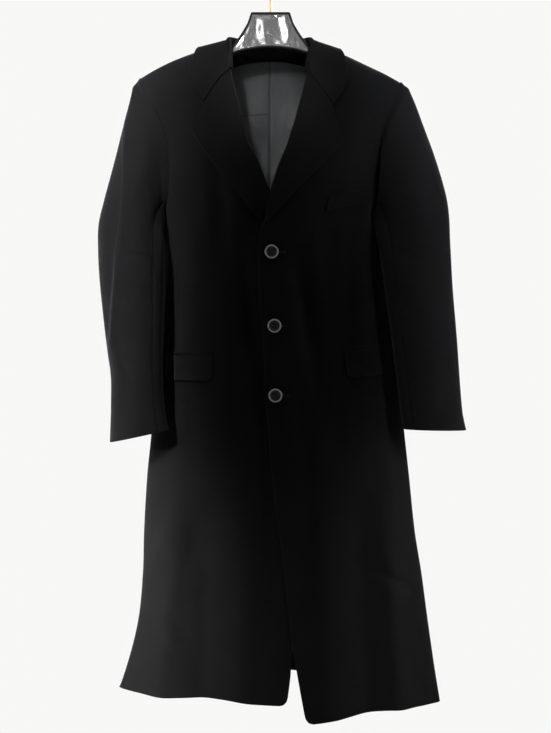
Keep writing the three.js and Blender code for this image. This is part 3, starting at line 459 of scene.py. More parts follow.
def fine(knots, step, ends=(0.8, 2.2, 4.5)):
    """Places from the first knot to the last, about `step` apart, and closer at both ends."""
    low, high = knots
    count = max(2, round((high - low) / step))
    middle = np.linspace(low, high, count + 1)[1:-1]
    near = [low + e for e in ends if low + e < middle[0] + step * 0.4]
    far = [high - e for e in ends[::-1] if high - e > middle[-1] - step * 0.4]
    inner = [m for m in middle if m > low + ends[-1] * 1.15 and m < high - ends[-1] * 1.15]
    return np.array([low] + near + inner + far + [high])


# ------------------------------------------------------------------ materials


def add_node(tree, kind, inputs=(), **settings):
    node = tree.nodes.new(kind)
    for key, value in settings.items():
        setattr(node, key, value)
    for key, value in dict(inputs).items():
        if hasattr(value, "links"):
            tree.links.new(value, node.inputs[key])
        else:
            node.inputs[key].default_value = value
    return node


def stretched(tree, scale):
    """Places in the object's own space, stretched."""
    here = add_node(tree, "ShaderNodeTexCoord").outputs["Object"]
    return add_node(tree, "ShaderNodeMapping", {0: here, "Scale": scale}).outputs[0]


def noise(tree, stretch, scale, detail, rough):
    inputs = {"Vector": stretched(tree, stretch), "Scale": scale, "Detail": detail, "Roughness": rough}
    return add_node(tree, "ShaderNodeTexNoise", inputs).outputs["Fac"]


def wave(tree, stretch, scale, distortion, direction="DIAGONAL", more=()):
    inputs = {"Vector": stretched(tree, stretch), "Scale": scale, "Distortion": distortion, **dict(more)}
    return add_node(tree, "ShaderNodeTexWave", inputs, bands_direction=direction).outputs["Fac"]


def weighted(tree, *parts):
    """The sum of values, each times its weight."""
    total = None
    for value, weight in parts:
        part = add_node(tree, "ShaderNodeMath", {0: value, 1: weight}, operation="MULTIPLY").outputs[0]
        if total is not None:
            part = add_node(tree, "ShaderNodeMath", {0: total, 1: part}, operation="ADD").outputs[0]
        total = part
    return total


def ramp(tree, fac, *stops):
    made = add_node(tree, "ShaderNodeValToRGB", {"Fac": fac})
    elements = made.color_ramp.elements
    while len(elements) < len(stops):
        elements.new(0.5)
    for element, (place, colour) in zip(elements, stops):
        element.position, element.color = place, (*colour, 1)
    return made.outputs["Color"]


def grey(value, tint=(1, 1, 1)):
    return tuple(value * share for share in tint)


def new_material(name):
    material = bpy.data.materials.new(name)
    material.use_nodes = True
    return material, material.node_tree


def dress(material, colour, rough, plain, height=None, strength=0.0, distance=0.0):
    """Joins colour, roughness and bump to the shader, and sets plain values on its own sockets.
    `rough` is a pattern with the roughness where it is 0 and where it is 1, or nothing."""
    tree = material.node_tree
    shader = tree.nodes["Principled BSDF"]
    tree.links.new(colour, shader.inputs["Base Color"])
    if rough:
        inputs = dict(zip(("Value", "To Min", "To Max"), rough))
        made = add_node(tree, "ShaderNodeMapRange", inputs)
        tree.links.new(made.outputs[0], shader.inputs["Roughness"])
    for socket, value in plain.items():
        shader.inputs[socket].default_value = value
    if height:
        inputs = {"Height": height, "Strength": strength, "Distance": distance}
        tree.links.new(add_node(tree, "ShaderNodeBump", inputs).outputs[0], shader.inputs["Normal"])
    return material


def wool_material(name, dark, light, tint):
    """Brushed wool coating: a soft nap lying downwards over a fine twill, dull with a faint bloom."""
    material, tree = new_material(name)
    fibre = noise(tree, (1, 1, 0.35), 1500.0, 4.0, 0.7)
    cloud = noise(tree, (1, 1, 0.6), 26.0, 4.0, 0.6)
    tuft = noise(tree, (1, 1, 0.5), 420.0, 3.0, 0.6)
    weave = wave(tree, (1, 0, -1), 260.0, 1.2, "X", {"Detail": 2.0, "Detail Scale": 3.0})
    mixed = weighted(tree, (fibre, 0.55), (tuft, 0.3), (cloud, 0.25))
    shades = ((0.38, dark), (0.56, (dark + light) / 2), (0.74, light))
    colour = ramp(tree, mixed, *((place, grey(shade, tint)) for place, shade in shades))
    plain = {"Specular IOR Level": 0.03, "Sheen Weight": 0.05, "Sheen Roughness": 0.42}
    plain["Sheen Tint"] = (0.68, 0.68, 0.74, 1)
    height = weighted(tree, (fibre, 0.7), (tuft, 0.6), (weave, 0.18))
    return dress(material, colour, (cloud, 0.86, 1.0), plain, height, 0.45, 0.0006)


def satin_material():
    """Twill satin lining, charcoal, with painted highlights: its colour is lighter where its wrinkle bumps
    stand highest.
    """
    material, tree = new_material("lining_satin")
    fold = noise(tree, (1, 1, 0.3), 22.0, 3.0, 0.5)
    thread = wave(tree, (1, 0.4, 1), 420.0, 0.4, "DIAGONAL", {"Detail": 1.0})
    # painted highlight: the colour follows the wrinkle bump's noise, lighter on the raised wrinkles
    colour = ramp(tree, fold, (0.3, (0.010, 0.0108, 0.0117)), (0.7, (0.022, 0.0235, 0.0254)))
    plain = {"Specular IOR Level": 0.22, "Sheen Weight": 0.05, "Sheen Roughness": 0.35, "Anisotropic": 0.4}
    height = weighted(tree, (thread, 0.2), (fold, 1.0))
    return dress(material, colour, (thread, 0.48, 0.60), plain, height, 0.25, 0.0012)


def horn_material(name, polish):
    """Dark horn: cloudy brown-black, polished on the rim and duller in the dish."""
    material, tree = new_material(name)
    cloud = noise(tree, (1, 1, 2.2), 120.0, 5.0, 0.6)
    streak = noise(tree, (0.4, 1, 3), 300.0, 3.0, 0.5)
    shades = ((0.35, (0.016, 0.015, 0.016)), (0.6, (0.045, 0.042, 0.042)), (0.75, (0.11, 0.10, 0.095)))
    colour = ramp(tree, weighted(tree, (cloud, 0.7), (streak, 0.3)), *shades)
    rough = (streak, 0.55 - 0.3 * polish, 0.7 - 0.3 * polish)
    plain = {"Specular IOR Level": 0.06 + 0.5 * polish, "Coat Weight": 0.5 * polish}
    plain.update({"Coat Roughness": 0.12, "Coat IOR": 1.7})
    return dress(material, colour, rough, plain, streak, 0.08, 0.0003)


def plastic_material(name, uneven, gloss):
    """Black moulded plastic with a gloss, handling smudges and slight waves."""
    material, tree = new_material(name)
    waves = noise(tree, (1, 1, 1), 34.0, 2.0, 0.5)
    smudge = noise(tree, (1, 1, 1), 160.0, 4.0, 0.6)
    colour = ramp(tree, smudge, (0.3, (0.006, 0.006, 0.0065)), (0.75, (0.013, 0.013, 0.014)))
    rough = (smudge, 0.5 - 0.42 * gloss, 0.6 - 0.42 * gloss)
    plain = {"Specular IOR Level": 0.1 + 0.6 * gloss, "Coat Weight": gloss}
    plain.update({"Coat Roughness": 0.11, "Coat IOR": 1.7})
    return dress(material, colour, rough, plain, waves, uneven, 0.004)


def brass_material():
    """Brass-plated wire with fine drawing marks and a dull patina."""
    material, tree = new_material("hook_brass")
    patina = noise(tree, (1, 1, 1), 150.0, 4.0, 0.6)
    marks = noise(tree, (1, 1, 0.1), 2600.0, 2.0, 0.5)
    colour = ramp(tree, patina, (0.3, (0.42, 0.27, 0.10)), (0.7, (0.72, 0.52, 0.24)))
    return dress(material, colour, (patina, 0.38, 0.2), {"Metallic": 1.0}, marks, 0.12, 0.0002)


def thread_material():
    """Waxed black thread, a little shinier than the cloth."""
    material, tree = new_material("black_thread")
    twist = wave(tree, (1, 1, 1), 900.0, 0.5)
    colour = ramp(tree, twist, (0.2, (0.006, 0.006, 0.007)), (0.8, (0.02, 0.02, 0.022)))
    plain = {"Roughness": 0.8, "Specular IOR Level": 0.06, "Sheen Weight": 0.03}
    return dress(material, colour, None, plain, twist, 0.3, 0.0002)


def floor_material():
    material, tree = new_material("pale_floor")
    speck = noise(tree, (1, 1, 1), 60.0, 4.0, 0.6)
    colour = ramp(tree, speck, (0.3, grey(0.82)), (0.7, grey(0.86)))
    return dress(material, colour, None, {"Roughness": 0.7})


WOOL = wool_material("coating_wool", 0.0035, 0.0100, (0.97, 0.97, 1.04))
SATIN_CLOTH = satin_material()
HORN = horn_material("button_horn_rim", 1.0)
HORN_DISH = horn_material("button_horn_dish", 0.0)
PLASTIC = plastic_material("hanger_plastic", 0.25, 1.0)
FRAME_PLASTIC = plastic_material("hanger_plastic_matt", 0.2, 0.0)
BRASS = brass_material()
THREAD = thread_material()

# ------------------------------------------------------------------ fine form of the cloth

# Creases, darts and drag lines on top of the large folds: from the upper to the lower end.
# A positive depth sinks the cloth and a negative one raises it.
FRONT_CREASES = table(
    "x1 level1 x2 level2 width depth",
    (-113, 508, -112, 632, 2.6, 1.7), (148, 520, 146, 645, 2.6, 1.7),
    (-104, 290, -66, 640, 15, 8.5), (-56, 440, -30, 780, 13, 6.5), (-84, 470, -70, 620, 6, -2.4),
    (-44, 480, 4, 900, 17, 6.4), (-26, 640, 14, 1240, 15, 6.8), (-72, 600, -62, 900, 13, -2.6),
    (-128, 320, -100, 560, 12, -3.0),
    (-166, 430, -176, 800, 9, 4.2), (-188, 470, -198, 830, 9, -2.6), (-140, 760, -150, 980, 13, 2.8),
    (-38, 520, 4, 500, 7, -1.4), (-72, 620, 0, 652, 8, 1.6), (-52, 800, 2, 775, 9, 1.4),
    (-212, 1142, -124, 1239, 12, 2.4), (-205, 1190, -150, 1250, 8, -1.8), (-90, 1150, -56, 1196, 11, 2.2),
    (-128, 960, -150, 1130, 16, 3.2), (-70, 1000, -84, 1322, 15, 2.6), (-190, 1010, -214, 1130, 14, -2.6),
    (-110, 1215, -40, 1262, 9, -1.4), (-160, 1085, -92, 1120, 10, -1.3), (-40, 1240, 24, 1262, 9, 1.2),
    (34, 450, 100, 850, 13, 7.4), (70, 420, 92, 640, 10, -3.0), (168, 440, 188, 790, 9, 4.4),
    (44, 650, 84, 1180, 14, 4.6),
    (196, 480, 214, 800, 8, -2.2), (104, 475, 128, 560, 7, 1.6), (30, 560, 70, 586, 8, 1.5),
    (34, 690, 84, 735, 9, -1.6), (40, 800, 96, 842, 10, 1.8), (120, 770, 116, 920, 13, 2.4),
    (185, 842, 190, 970, 9, 3.8), (206, 850, 224, 1010, 11, -2.4), (167, 1086, 271, 1136, 7, 3.0),
    (160, 1096, 262, 1152, 8, -1.8), (270, 1140, 228, 1170, 8, 2.8), (60, 960, 52, 1180, 16, 2.4),
    (112, 1010, 120, 1345, 14, -2.6), (84, 1190, 150, 1236, 12, 1.8), (214, 1210, 262, 1290, 12, 1.8),
    (50, 1280, 74, 1352, 10, -1.4),
)
BACK_CREASES = table(
    "x1 level1 x2 level2 width depth",
    (-60, 178, -150, 216, 12, 1.6), (54, 180, 146, 220, 12, 1.5), (-168, 300, -128, 430, 10, 2.4),
    (166, 310, 130, 450, 10, 2.2), (-70, 240, -36, 420, 14, -1.4), (60, 250, 30, 440, 14, -1.3),
    (-178, 440, -188, 760, 10, 2.4), (178, 450, 196, 780, 10, 2.2), (-112, 560, -128, 820, 14, 2.0),
    (104, 560, 118, 840, 14, 1.9), (-60, 620, 10, 660, 9, 1.0), (18, 700, 70, 668, 9, 1.0),
    (-36, 800, -46, 1306, 13, 1.9), (42, 780, 52, 1310, 13, 1.9), (-128, 900, -140, 1312, 12, -1.8),
    (136, 890, 148, 1318, 12, -1.8), (-200, 1010, -232, 1300, 13, 2.2), (214, 1000, 252, 1330, 13, 2.2),
    (-120, 1120, -60, 1164, 11, 1.1), (80, 1090, 150, 1140, 11, 1.2),
)


# How deep a button sinks the cloth, and how high the drag lines round it stand.
BUTTON_SINK, BUTTON_DRAG = 1.1, 0.5


def front_detail(which, x, z):
    """How far the finished cloth of a front stands out of the plain surface, in millimetres."""
    fade = smooth((-z - 470 + 2.2 * np.abs(x)) / 90)
    detail = -line_sum(FRONT_CREASES, x, z) * fade
    detail = detail + ripple(x, z, 58.0, 0.7 if which == "right" else 2.1) * 0.8
    if which == "left":
        for bx, bz in BUTTONS.values():
            reach = np.hypot(x - bx, z - bz)
            detail = detail - BUTTON_SINK * bell(reach, 20)
            star = np.cos(5 * np.arctan2(z - bz, x - bx) + bz)
            detail = detail + BUTTON_DRAG * star * bell(reach - 24, 14)
    return detail


def finished(which, x, z, amount):
    return raised(which, x, z, amount + front_detail(which, x, z))


def armhole_point(which, turn):
    """The armhole seam, at degrees round from the shoulder over the front to the underarm."""
    rows = ARMHOLE[which]
    turn = np.asarray(turn, float)
    top_z = shoulder_z(rows["front"][0])
    z = mix(-UNDERARM, top_z, (1 + np.cos(np.radians(turn))) / 2)
    ahead = np.sin(np.radians(turn)) >= 0
    x = np.where(ahead, along(rows, "level", -z, "front"), along(rows, "level", -z, "back"))
    y = np.where(ahead, body_y(-1, x, z), body_y(1, x, z))
    at_top, at_side = top_z - z < 1e-6, z + UNDERARM < 1e-6
    y = np.where(at_top | at_side, 0, y)
    x = np.where(at_side, side_x(which, z), x)
    return stack(x, y, z)


def lobe_depth(x, z):
    """How far the right sleeve's outer part falls back."""
    edge = along(SLEEVE_EDGE, "level", -z, "x")
    length = smooth((-z - LOBE_TOP) / 90) * smooth((LOBE_BOTTOM + z) / 90)
    return LOBE_BACK * length * smooth((edge - x) / LOBE_WIDTH)


def sleeve_point(which, step, turn):
    """A point of the sleeve, in rings from the armhole (0) to the cuff (13) and degrees round."""
    rows = SLEEVES[which]
    step, turn = np.broadcast_arrays(np.asarray(step, float), np.asarray(turn, float))
    at = np.maximum(step, 1)
    ring = {name: along(rows, "step", at, name) for name in rows if name != "step"}
    outward, lean = (1 + np.cos(np.radians(turn))) / 2, np.sin(np.radians(turn))
    ahead = np.maximum(lean, 0)
    x = mix(ring["inX"], ring["outX"], outward) + ring["bow"] * ahead**2
    z = mix(ring["inZ"], ring["outZ"], outward)
    deep = np.where(lean > 0, ring["front"], ring["back"])
    y = ring["middle"] + ring["tilt"] * (1.5 * outward - 1) - lean * deep
    if which == "right":
        y = y + lobe_depth(x, z) * ahead**0.5
    point = stack(x, y, z)
    share = np.clip(smooth(step) * 0.4 + np.clip(step, 0, 1) * 0.6, 0, 1)[..., None]
    return np.where(step[..., None] >= 1, point, mix(armhole_point(which, turn), point, share))


def armhole_normal(which, turn):
    """The common normal of body and sleeve at their seam, and the way from the body into the sleeve."""
    here = armhole_point(which, turn)
    seam = armhole_point(which, turn + 4) - armhole_point(which, turn - 4)
    sleeve = unit(sleeve_point(which, 0.5, turn) - here)
    hand = -HAND[which]
    from_sleeve = unit(np.cross(sleeve, seam) * hand)
    inside = stack(section(here[..., 2])[0], here[..., 1] * 0.4, here[..., 2] - 4)
    from_body = unit(np.cross(unit(inside - here), seam) * -hand)
    normal = unit(from_sleeve + from_body)
    return normal, unit(np.cross(seam, normal) * hand)


def neck_level(x):
    return NECK_DROP - NECK_RISE * np.minimum(1, np.abs(x) / NECK_HALF) ** 4


def panel_row(t, start, end, level, top_z):
    """One row of a panel between two points. It follows the top seam at level 0 and is plain at 1."""
    (x0, z0), (x1, z1) = start, end
    a0, a1 = angle_at(x0, z0), angle_at(x1, z1)
    plain = mix(z0, z1, t)
    centre, half = section(plain)
    x = centre + half * np.sin(mix(a0, a1, t))
    z = mix(top_z(x) - mix(top_z(x0) - z0, top_z(x1) - z1, t), plain, level)
    if level > 0:
        centre, half = section(z)
        x = centre + half * np.sin(mix(a0, a1, t))
    x[0], x[-1] = x0, x1
    return x, z


# Rows of a panel: shares of the way down its armhole, levels down to the skirt, and shares of the skirt.
ARMS = np.concatenate([[0, 0.004, 0.01, 0.018, 0.029, 0.042], np.linspace(0.058, 1, 52)])
LEVELS = np.linspace(UNDERARM, SKIRT_LEVEL, 92)[1:]
HEMS = np.concatenate([np.linspace(0, 0.955, 26)[1:], [0.972, 0.985, 0.993, 1.0]])


def panel_points(which, side, columns):
    """x and z of a front or back panel, its rows running down from the shoulder seam to the hem."""
    hand = HAND[which]
    if side < 0:
        hem_rows, start = HEM[which], FRONT_EDGE[which]["level"][0]

        def edge(level):
            fold = smooth((level - ROLL_START) / 22) * (1 - smooth((level - ROLL_END) / 40))
            return float(edge_x(which, -level) + hand * ROLL_INSET * fold)

        def top_z(x):
            return shoulder_z(x)
    else:
        hem_rows, start = HEM["back"], NECK_DROP

        def edge(level):
            if which == "left":
                return CENTRE_BACK + SEWN_GAP
            return float(CENTRE_BACK - SEWN_GAP + (VENT_LAP + SEWN_GAP) * smooth((level - VENT_TOP) / 40))

        def top_z(x):
            inside = np.abs(x) < NECK_HALF
            return np.where(inside, np.minimum(-neck_level(x), shoulder_z(x)), shoulder_z(x))

    xs, zs = [], []
    for arm in ARMS:
        level = float(np.clip(along(TOP_ROWS, "arm", arm, "level"), 0, 1))
        drop = float(along(TOP_ROWS, "arm", arm, "edge")) * (1 if side < 0 else mix(1, 0.96, level))
        hole = armhole_point(which, -side * arm * 180)
        end = (edge(start + drop), -(start + drop))
        x, z = panel_row(columns, (float(hole[0]), float(hole[2])), end, level, top_z)
        xs.append(x)
        zs.append(z)
    edge_low = -zs[-1][-1]
    for level in LEVELS:
        low = level - (UNDERARM - edge_low) * (1 - smooth((level - UNDERARM) / 43))
        x, z = panel_row(columns, (float(side_x(which, -level)), -level), (edge(low), -low), 1, top_z)
        xs.append(x)
        zs.append(z)
    for t in HEMS:
        def hem_z(x):
            return -mix(SKIRT_LEVEL, along(hem_rows, "x", x, "level"), t)

        from_x = float(side_x(which, hem_z(side_x(which, -1320))))
        end_x = edge(float(-hem_z(30))) if side < 0 else edge(1300)
        if side < 0:
            up = float(along(hem_rows, "x", end_x, "level") - SKIRT_LEVEL) * (1 - t)
            cut = HEM_CORNER - math.sqrt(max(HEM_CORNER**2 - max(HEM_CORNER - up, 0) ** 2, 0))
            end_x += hand * cut
        a0, a1 = angle_at(from_x, hem_z(from_x)), angle_at(end_x, hem_z(end_x))
        centre, half = section(hem_z(mix(from_x, end_x, columns)))
        x = centre + half * np.sin(mix(a0, a1, columns))
        x[0], x[-1] = from_x, end_x
        xs.append(x)
        zs.append(hem_z(x))
    return np.array(xs), np.array(zs)


COLUMNS = np.concatenate(
    [[0, 0.003, 0.008, 0.016, 0.028], np.linspace(0.045, 0.955, 44), [0.972, 0.984, 0.992, 0.997, 1]]
)
SEAM_ROUNDING, SEWN_GAP = 0.3, 0.03
NECK_FACING, HEM_FACING, FRONT_FACING = 185.0, 1275, 85
STITCH_DEPTH = 0.35


def hem_facing(points):
    return -points[..., 2] > HEM_FACING


def add_panel(node, side):
    """A front or back: its finer form fades at the seams, so that it still meets its neighbours."""
    which = node.split("_")[0]
    hand = HAND[which]
    x, z = panel_points(which, side, COLUMNS)
    if side < 0:
        y = np.minimum(front_y(which, x, z), -SEWN_GAP)
    else:
        y = body_y(1, x, z)
        if which == "right":
            opened = smooth((-z - VENT_TOP + 85) / 55)
            y = y - VENT_SINK * smooth((x - CENTRE_BACK + 26) / 24) * opened
        y = np.maximum(y, SEWN_GAP)
    grid = stack(x, y, z)
    steps = np.hypot(np.diff(x, axis=1), np.diff(y, axis=1))
    from_side = np.cumsum(np.concatenate([np.zeros((len(x), 1)), steps], 1), 1)
    from_edge = from_side[:, -1:] - from_side
    if side < 0:
        detail = front_detail(which, x, z)
        # the stitched line along the free edge
        lip = smooth((-z - 430) / 60)
        detail = detail - STITCH_DEPTH * bell(from_edge - 7, 1.6) * lip
    else:
        uneven = ripple(x, z, 62.0, 4.2 if which == "right" else 1.1)
        detail = -line_sum(BACK_CREASES, x, z) + uneven * 0.8
        # the centre seam, sunk and slightly puckered down to the vent
        closed = 1 - smooth((-z - VENT_TOP + 30) / 30)
        pucker = 0.25 * np.sin(z / 6.5 + np.sin(z / 23.0))
        detail = detail - (1.1 + pucker) * bell(from_edge, 3.2) * closed
    shoulder = shoulder_z(x) - z
    detail = detail * smooth(shoulder / 30) * smooth(from_side / 26)
    detail = detail - 0.9 * bell(from_side, 3.0) * smooth((-z - 300) / 60)
    # the side seam is sunk above; below are the hem's stitched line and its rounded lower edge
    low = -z - along(HEM[which] if side < 0 else HEM["back"], "x", x, "level")
    detail = detail - STITCH_DEPTH * bell(low + 42, 2.2) + 0.3 * bell(low, 8)
    keep_in = smooth((from_side - 1) / 8)
    normals = grid_normals(grid if hand * side > 0 else grid[:, ::-1])
    if hand * side < 0:
        normals = normals[:, ::-1]
    grid = grid + normals * (detail * keep_in)[..., None]
    normals[: len(ARMS), 0] = armhole_normal(which, -side * ARMS * 180)[0]
    sewn_back = (from_edge == 0) & (-z < VENT_TOP - 5) & (side > 0)
    rounding = np.where((from_side > 0) & ~sewn_back, 1.0, SEAM_ROUNDING)
    if hand * side < 0:
        grid, normals, rounding = grid[:, ::-1], normals[:, ::-1], rounding[:, ::-1]

    def keep(points):
        points = points.copy()
        if side < 0:
            points[..., 1] = np.minimum(points[..., 1], -SEWN_GAP)
            return points
        points[..., 1] = np.maximum(points[..., 1], SEWN_GAP)
        sewn = np.ones(points.shape[:-1], bool) if which == "left" else -points[..., 2] < VENT_TOP - 5
        limit = CENTRE_BACK + hand * SEWN_GAP
        beyond = hand * (points[..., 0] - limit) < 0
        points[..., 0] = np.where(sewn & beyond, limit, points[..., 0])
        return points

    def facing(points):
        if side > 0:
            return hem_facing(points) | (points[..., 2] > -NECK_FACING)
        near = np.abs(points[..., 0] - edge_x(which, points[..., 2])) < FRONT_FACING
        return hem_facing(points) | near

    piece = shell(node + "_cloth", grid, CLOTH, [WOOL, SATIN_CLOTH], normals, rounding, facing, keep)
    place(piece, [node], "wool_coating")


def place(piece, nodes, slot):
    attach(piece, "root")
    if nodes:
        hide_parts(*nodes)


# Each panel faces the front (-1) or the back (1).
add_panel("right_front", -1)
add_panel("left_front", -1)
add_panel("right_back", 1)
add_panel("left_back", 1)

# ------------------------------------------------------------------ sleeves

# Creases of a sleeve, in rings and degrees round: from one end to the other, millimetres deep.
SLEEVE_CREASES = {
    "right": table(
        "step1 turn1 step2 turn2 width depth",
        (6.0, 150, 7.2, 70, 8, 2.6), (6.8, 160, 8.2, 96, 9, -2.0), (7.6, 165, 9.0, 84, 8, 2.4),
        (9.9, 60, 10.8, 100, 6, 1.8), (10.6, 44, 11.3, 86, 6, -1.2), (11.9, 20, 12.0, 120, 5, 1.2),
        (1.2, 120, 2.8, 96, 10, 2.6), (1.8, 140, 4.2, 118, 11, -2.0), (3.4, 60, 6.4, 78, 12, 1.6),
        (2.2, -60, 4.8, -86, 11, 2.4), (5.6, -120, 7.4, -70, 9, 2.4), (7.0, -140, 8.8, -84, 9, -2.0),
        (9.4, -60, 10.8, -110, 9, 1.8), (0.8, 38, 2.4, 56, 10, 1.2), (8.2, 30, 10.0, 44, 10, 1.2),
    ),
    "left": table(
        "step1 turn1 step2 turn2 width depth",
        (6.0, 150, 7.4, 78, 8, 2.6), (6.9, 160, 8.4, 92, 9, -1.8), (7.8, 160, 9.2, 90, 8, 2.2),
        (10.2, 50, 10.9, 96, 6, 1.3), (11.9, 16, 12.0, 120, 5, 1.0), (1.2, 118, 2.8, 92, 10, 2.4),
        (2.0, 136, 4.4, 112, 11, -1.8), (3.2, 56, 6.6, 66, 13, 1.6), (2.2, -60, 4.8, -84, 11, 2.4),
        (5.4, -124, 7.2, -74, 9, 2.4), (7.2, -138, 9.0, -82, 9, -1.8), (9.4, -62, 10.8, -108, 9, 1.8),
        (0.9, 40, 2.6, 52, 10, 1.2), (8.0, 26, 10.4, 36, 12, 1.4), (4.8, 20, 6.6, 34, 11, -1.2),
    ),
}


def sleeve_creases(rows, step, turn):
    """Soft creases along lines on the sleeve, fading at both ends."""
    total = np.zeros(np.broadcast(step, turn).shape)
    for s1, t1, s2, t2, width, depth in zip(*rows.values()):
        ax, ay, bx, by = s1 * RING_MM, t1 * DEGREE_MM, s2 * RING_MM, t2 * DEGREE_MM
        t, off = beside_line(step * RING_MM - ax, turn * DEGREE_MM - ay, bx - ax, by - ay)
        total = total + depth * np.sin(np.pi * np.clip(t, 0, 1)) ** 1.2 * bell(off, width)
    return total


STEPS = np.concatenate([[0, 0.02, 0.05, 0.1], np.linspace(0.18, 12.82, 104), [12.89, 12.94, 12.975, 13]])
# About how far apart two rings and two degrees are, and where the armpit is, in degrees round.
RING_MM, DEGREE_MM, ARMPIT = 50, 0.95, 158
ARMPIT_FOLD = 11.0
RIDGE_STAND, RIDGE_WIDTH = 4.6, 4.5


def sleeve_ridge(points):
    """The pressed fold down the front of the right sleeve, where its outer part falls back."""
    edge = along(SLEEVE_EDGE, "level", -points[..., 2], "x")
    off = points[..., 0] - edge
    length = smooth((-points[..., 2] - 262) / 70) * smooth((LOBE_BOTTOM + points[..., 2]) / 60)
    sharp = np.where(off > 0, np.exp(-np.abs(off) / (RIDGE_WIDTH * 2.2)), bell(off, RIDGE_WIDTH))
    return RIDGE_STAND * sharp * length * (points[..., 1] < 0)


def add_sleeve(node, first, last, flat, area):
    """One part of a sleeve, between two seams given in half turns round it."""
    which = node.split("_")[0]
    hand = -HAND[which]
    turns = fine((first * 180 + SEAM_TURN, last * 180 - SEAM_TURN), 4.2, (0.8, 2.2, 4.2))
    step, turn = STEPS[:, None], turns[None, :]
    grid = sleeve_point(which, step, turn)
    pit = bell(turn - ARMPIT, 17) * smooth((step - 0.15) / 0.8) * smooth((7.5 - step) / 4.5)
    grid[..., 0] += hand * ARMPIT_FOLD * pit
    normal0, away = armhole_normal(which, turns)
    grid[0] += away * SEAM_ROUNDING
    normals = grid_normals(grid) * hand
    detail = -sleeve_creases(SLEEVE_CREASES[which], step, turn)
    seed = 3.3 if which == "right" else 0.4
    down = step * RING_MM
    detail = detail + 0.8 * ripple(turn * DEGREE_MM + 0 * step, down + 0 * turn, 46.0, seed)
    from_first, from_last = (turn - turns[0]) * DEGREE_MM, (turns[-1] - turn) * DEGREE_MM
    seam = bell(from_first, 3.0) + bell(from_last, 3.0)
    hold = smooth(from_first / 14) * smooth(from_last / 14)
    # the roll and the eased fullness of the sleeve head
    head = np.cos(np.radians(np.clip(turn, -90, 90))) ** 0.7
    roll = 1.9 * bell(down - 10, 9) * head
    ease = 0.28 * np.sin(np.radians(turn) * 30) * bell(down - 8, 8) * head
    detail = detail * hold * smooth(step / 0.5) * smooth((13 - step) / 0.2)
    detail = detail + (roll + ease) * hold - 0.8 * seam * smooth(step)
    detail = detail - 0.4 * bell((step - 12.12) * RING_MM, 2.2)
    if which == "right":
        detail = detail + sleeve_ridge(grid) * hold
    grid = grid + normals * (detail * smooth(step / 0.12))[..., None]
    normals = grid_normals(grid) * hand
    normals[0] = normal0
    rounding = np.full(grid.shape[:2], SEAM_ROUNDING)
    rounding[-1] = 0.9
    if hand < 0:
        grid, normals = grid[:, ::-1], normals[:, ::-1]
    facing_z = float(along(SLEEVES[which], "step", 12.1, "outZ"))

    def facing(points):
        return points[..., 2] < facing_z

    piece = shell(node + "_cloth", grid, CLOTH, [WOOL, SATIN_CLOTH], normals, rounding, facing)
    place(piece, [node], "wool_coating")


UPPER, UNDER = (-0.37, 0.76), (0.76, 1.63)
add_sleeve("right_upper_sleeve", *UPPER, (0.24, 0.68), 0.118)
add_sleeve("right_under_sleeve", *UNDER, (0.15, 0.57), 0.066)
add_sleeve("left_upper_sleeve", *UPPER, (0.24, 0.68), 0.120)
add_sleeve("left_under_sleeve", *UNDER, (0.15, 0.57), 0.070)

# ------------------------------------------------------------------ collar and lapels


def push_out(points, clear):
    """Moves points out of the body until they are `clear` of its outer face."""
    x, y, z = points[..., 0], points[..., 1], points[..., 2]
    side = np.where(y < 0, -1, 1)
    depth = np.where(side < 0, body_depth(-1, x, z)[0], body_depth(1, x, z)[0]) + clear
    crown = np.where(side < 0, FRONT_CROWN, BACK_CROWN)
    top = shoulder_z(x)
    drop = top - z
    low_y = side * np.maximum(np.abs(y), depth)
    flat, tall = y / depth, (crown - drop) / (crown + clear)
    reach = np.minimum(np.maximum(np.hypot(flat, tall), 1e-6), 1)
    high_y, high_z = y / reach, top - crown + (crown - drop) / reach
    low = drop >= crown
    return stack(x, np.where(low, low_y, high_y), np.where(low, z, high_z))


def collar_stations():
    """The points of the collar at each of its stations, from the seam over the fold to the edge."""
    up = np.array([0.0, 0.0, 1.0])
    columns = []
    for side, seam_x, seam_z, top_x, top_y, top_z, edge_x_, edge_y, edge_z in zip(*COLLAR.values()):
        top, edge = np.array([top_x, top_y, top_z]), np.array([edge_x_, edge_y, edge_z])
        if side < 0:
            top[1] = body_y(-1, top_x, top_z) - COLLAR_ROLL
        out = unit((edge - top) * (1, 1, 0))
        seam = np.array([seam_x, body_y(side, seam_x, seam_z), seam_z], float)
        seam = seam - out * (CLOTH + STAND_INSIDE) + up * (SEAM + LAY)
        centre = top - up * COLLAR_FOLD
        inner, outer = centre - out * COLLAR_FOLD, centre + out * COLLAR_FOLD
        points = [mix(seam, inner, t) for t in np.linspace(0, 1, 9)[:-1]]
        for turn in np.radians(np.linspace(180, 0, 9)):
            points.append(centre + (out * math.cos(turn) + up * math.sin(turn)) * COLLAR_FOLD)
        for t in FALLS[1:]:
            bulge = math.sin(math.pi * t) * 3
            points.append(mix(outer, edge, t) + (out + up) * bulge * 0.6)
        columns.append(points)
    return np.array(columns)


FALLS = np.concatenate([np.linspace(0, 0.93, 17), [0.957, 0.978, 0.99, 1]])
# The stations at the collar's corners, and how deep its fall is.
CORNERS, COLLAR_FALL = (2, 14), 46


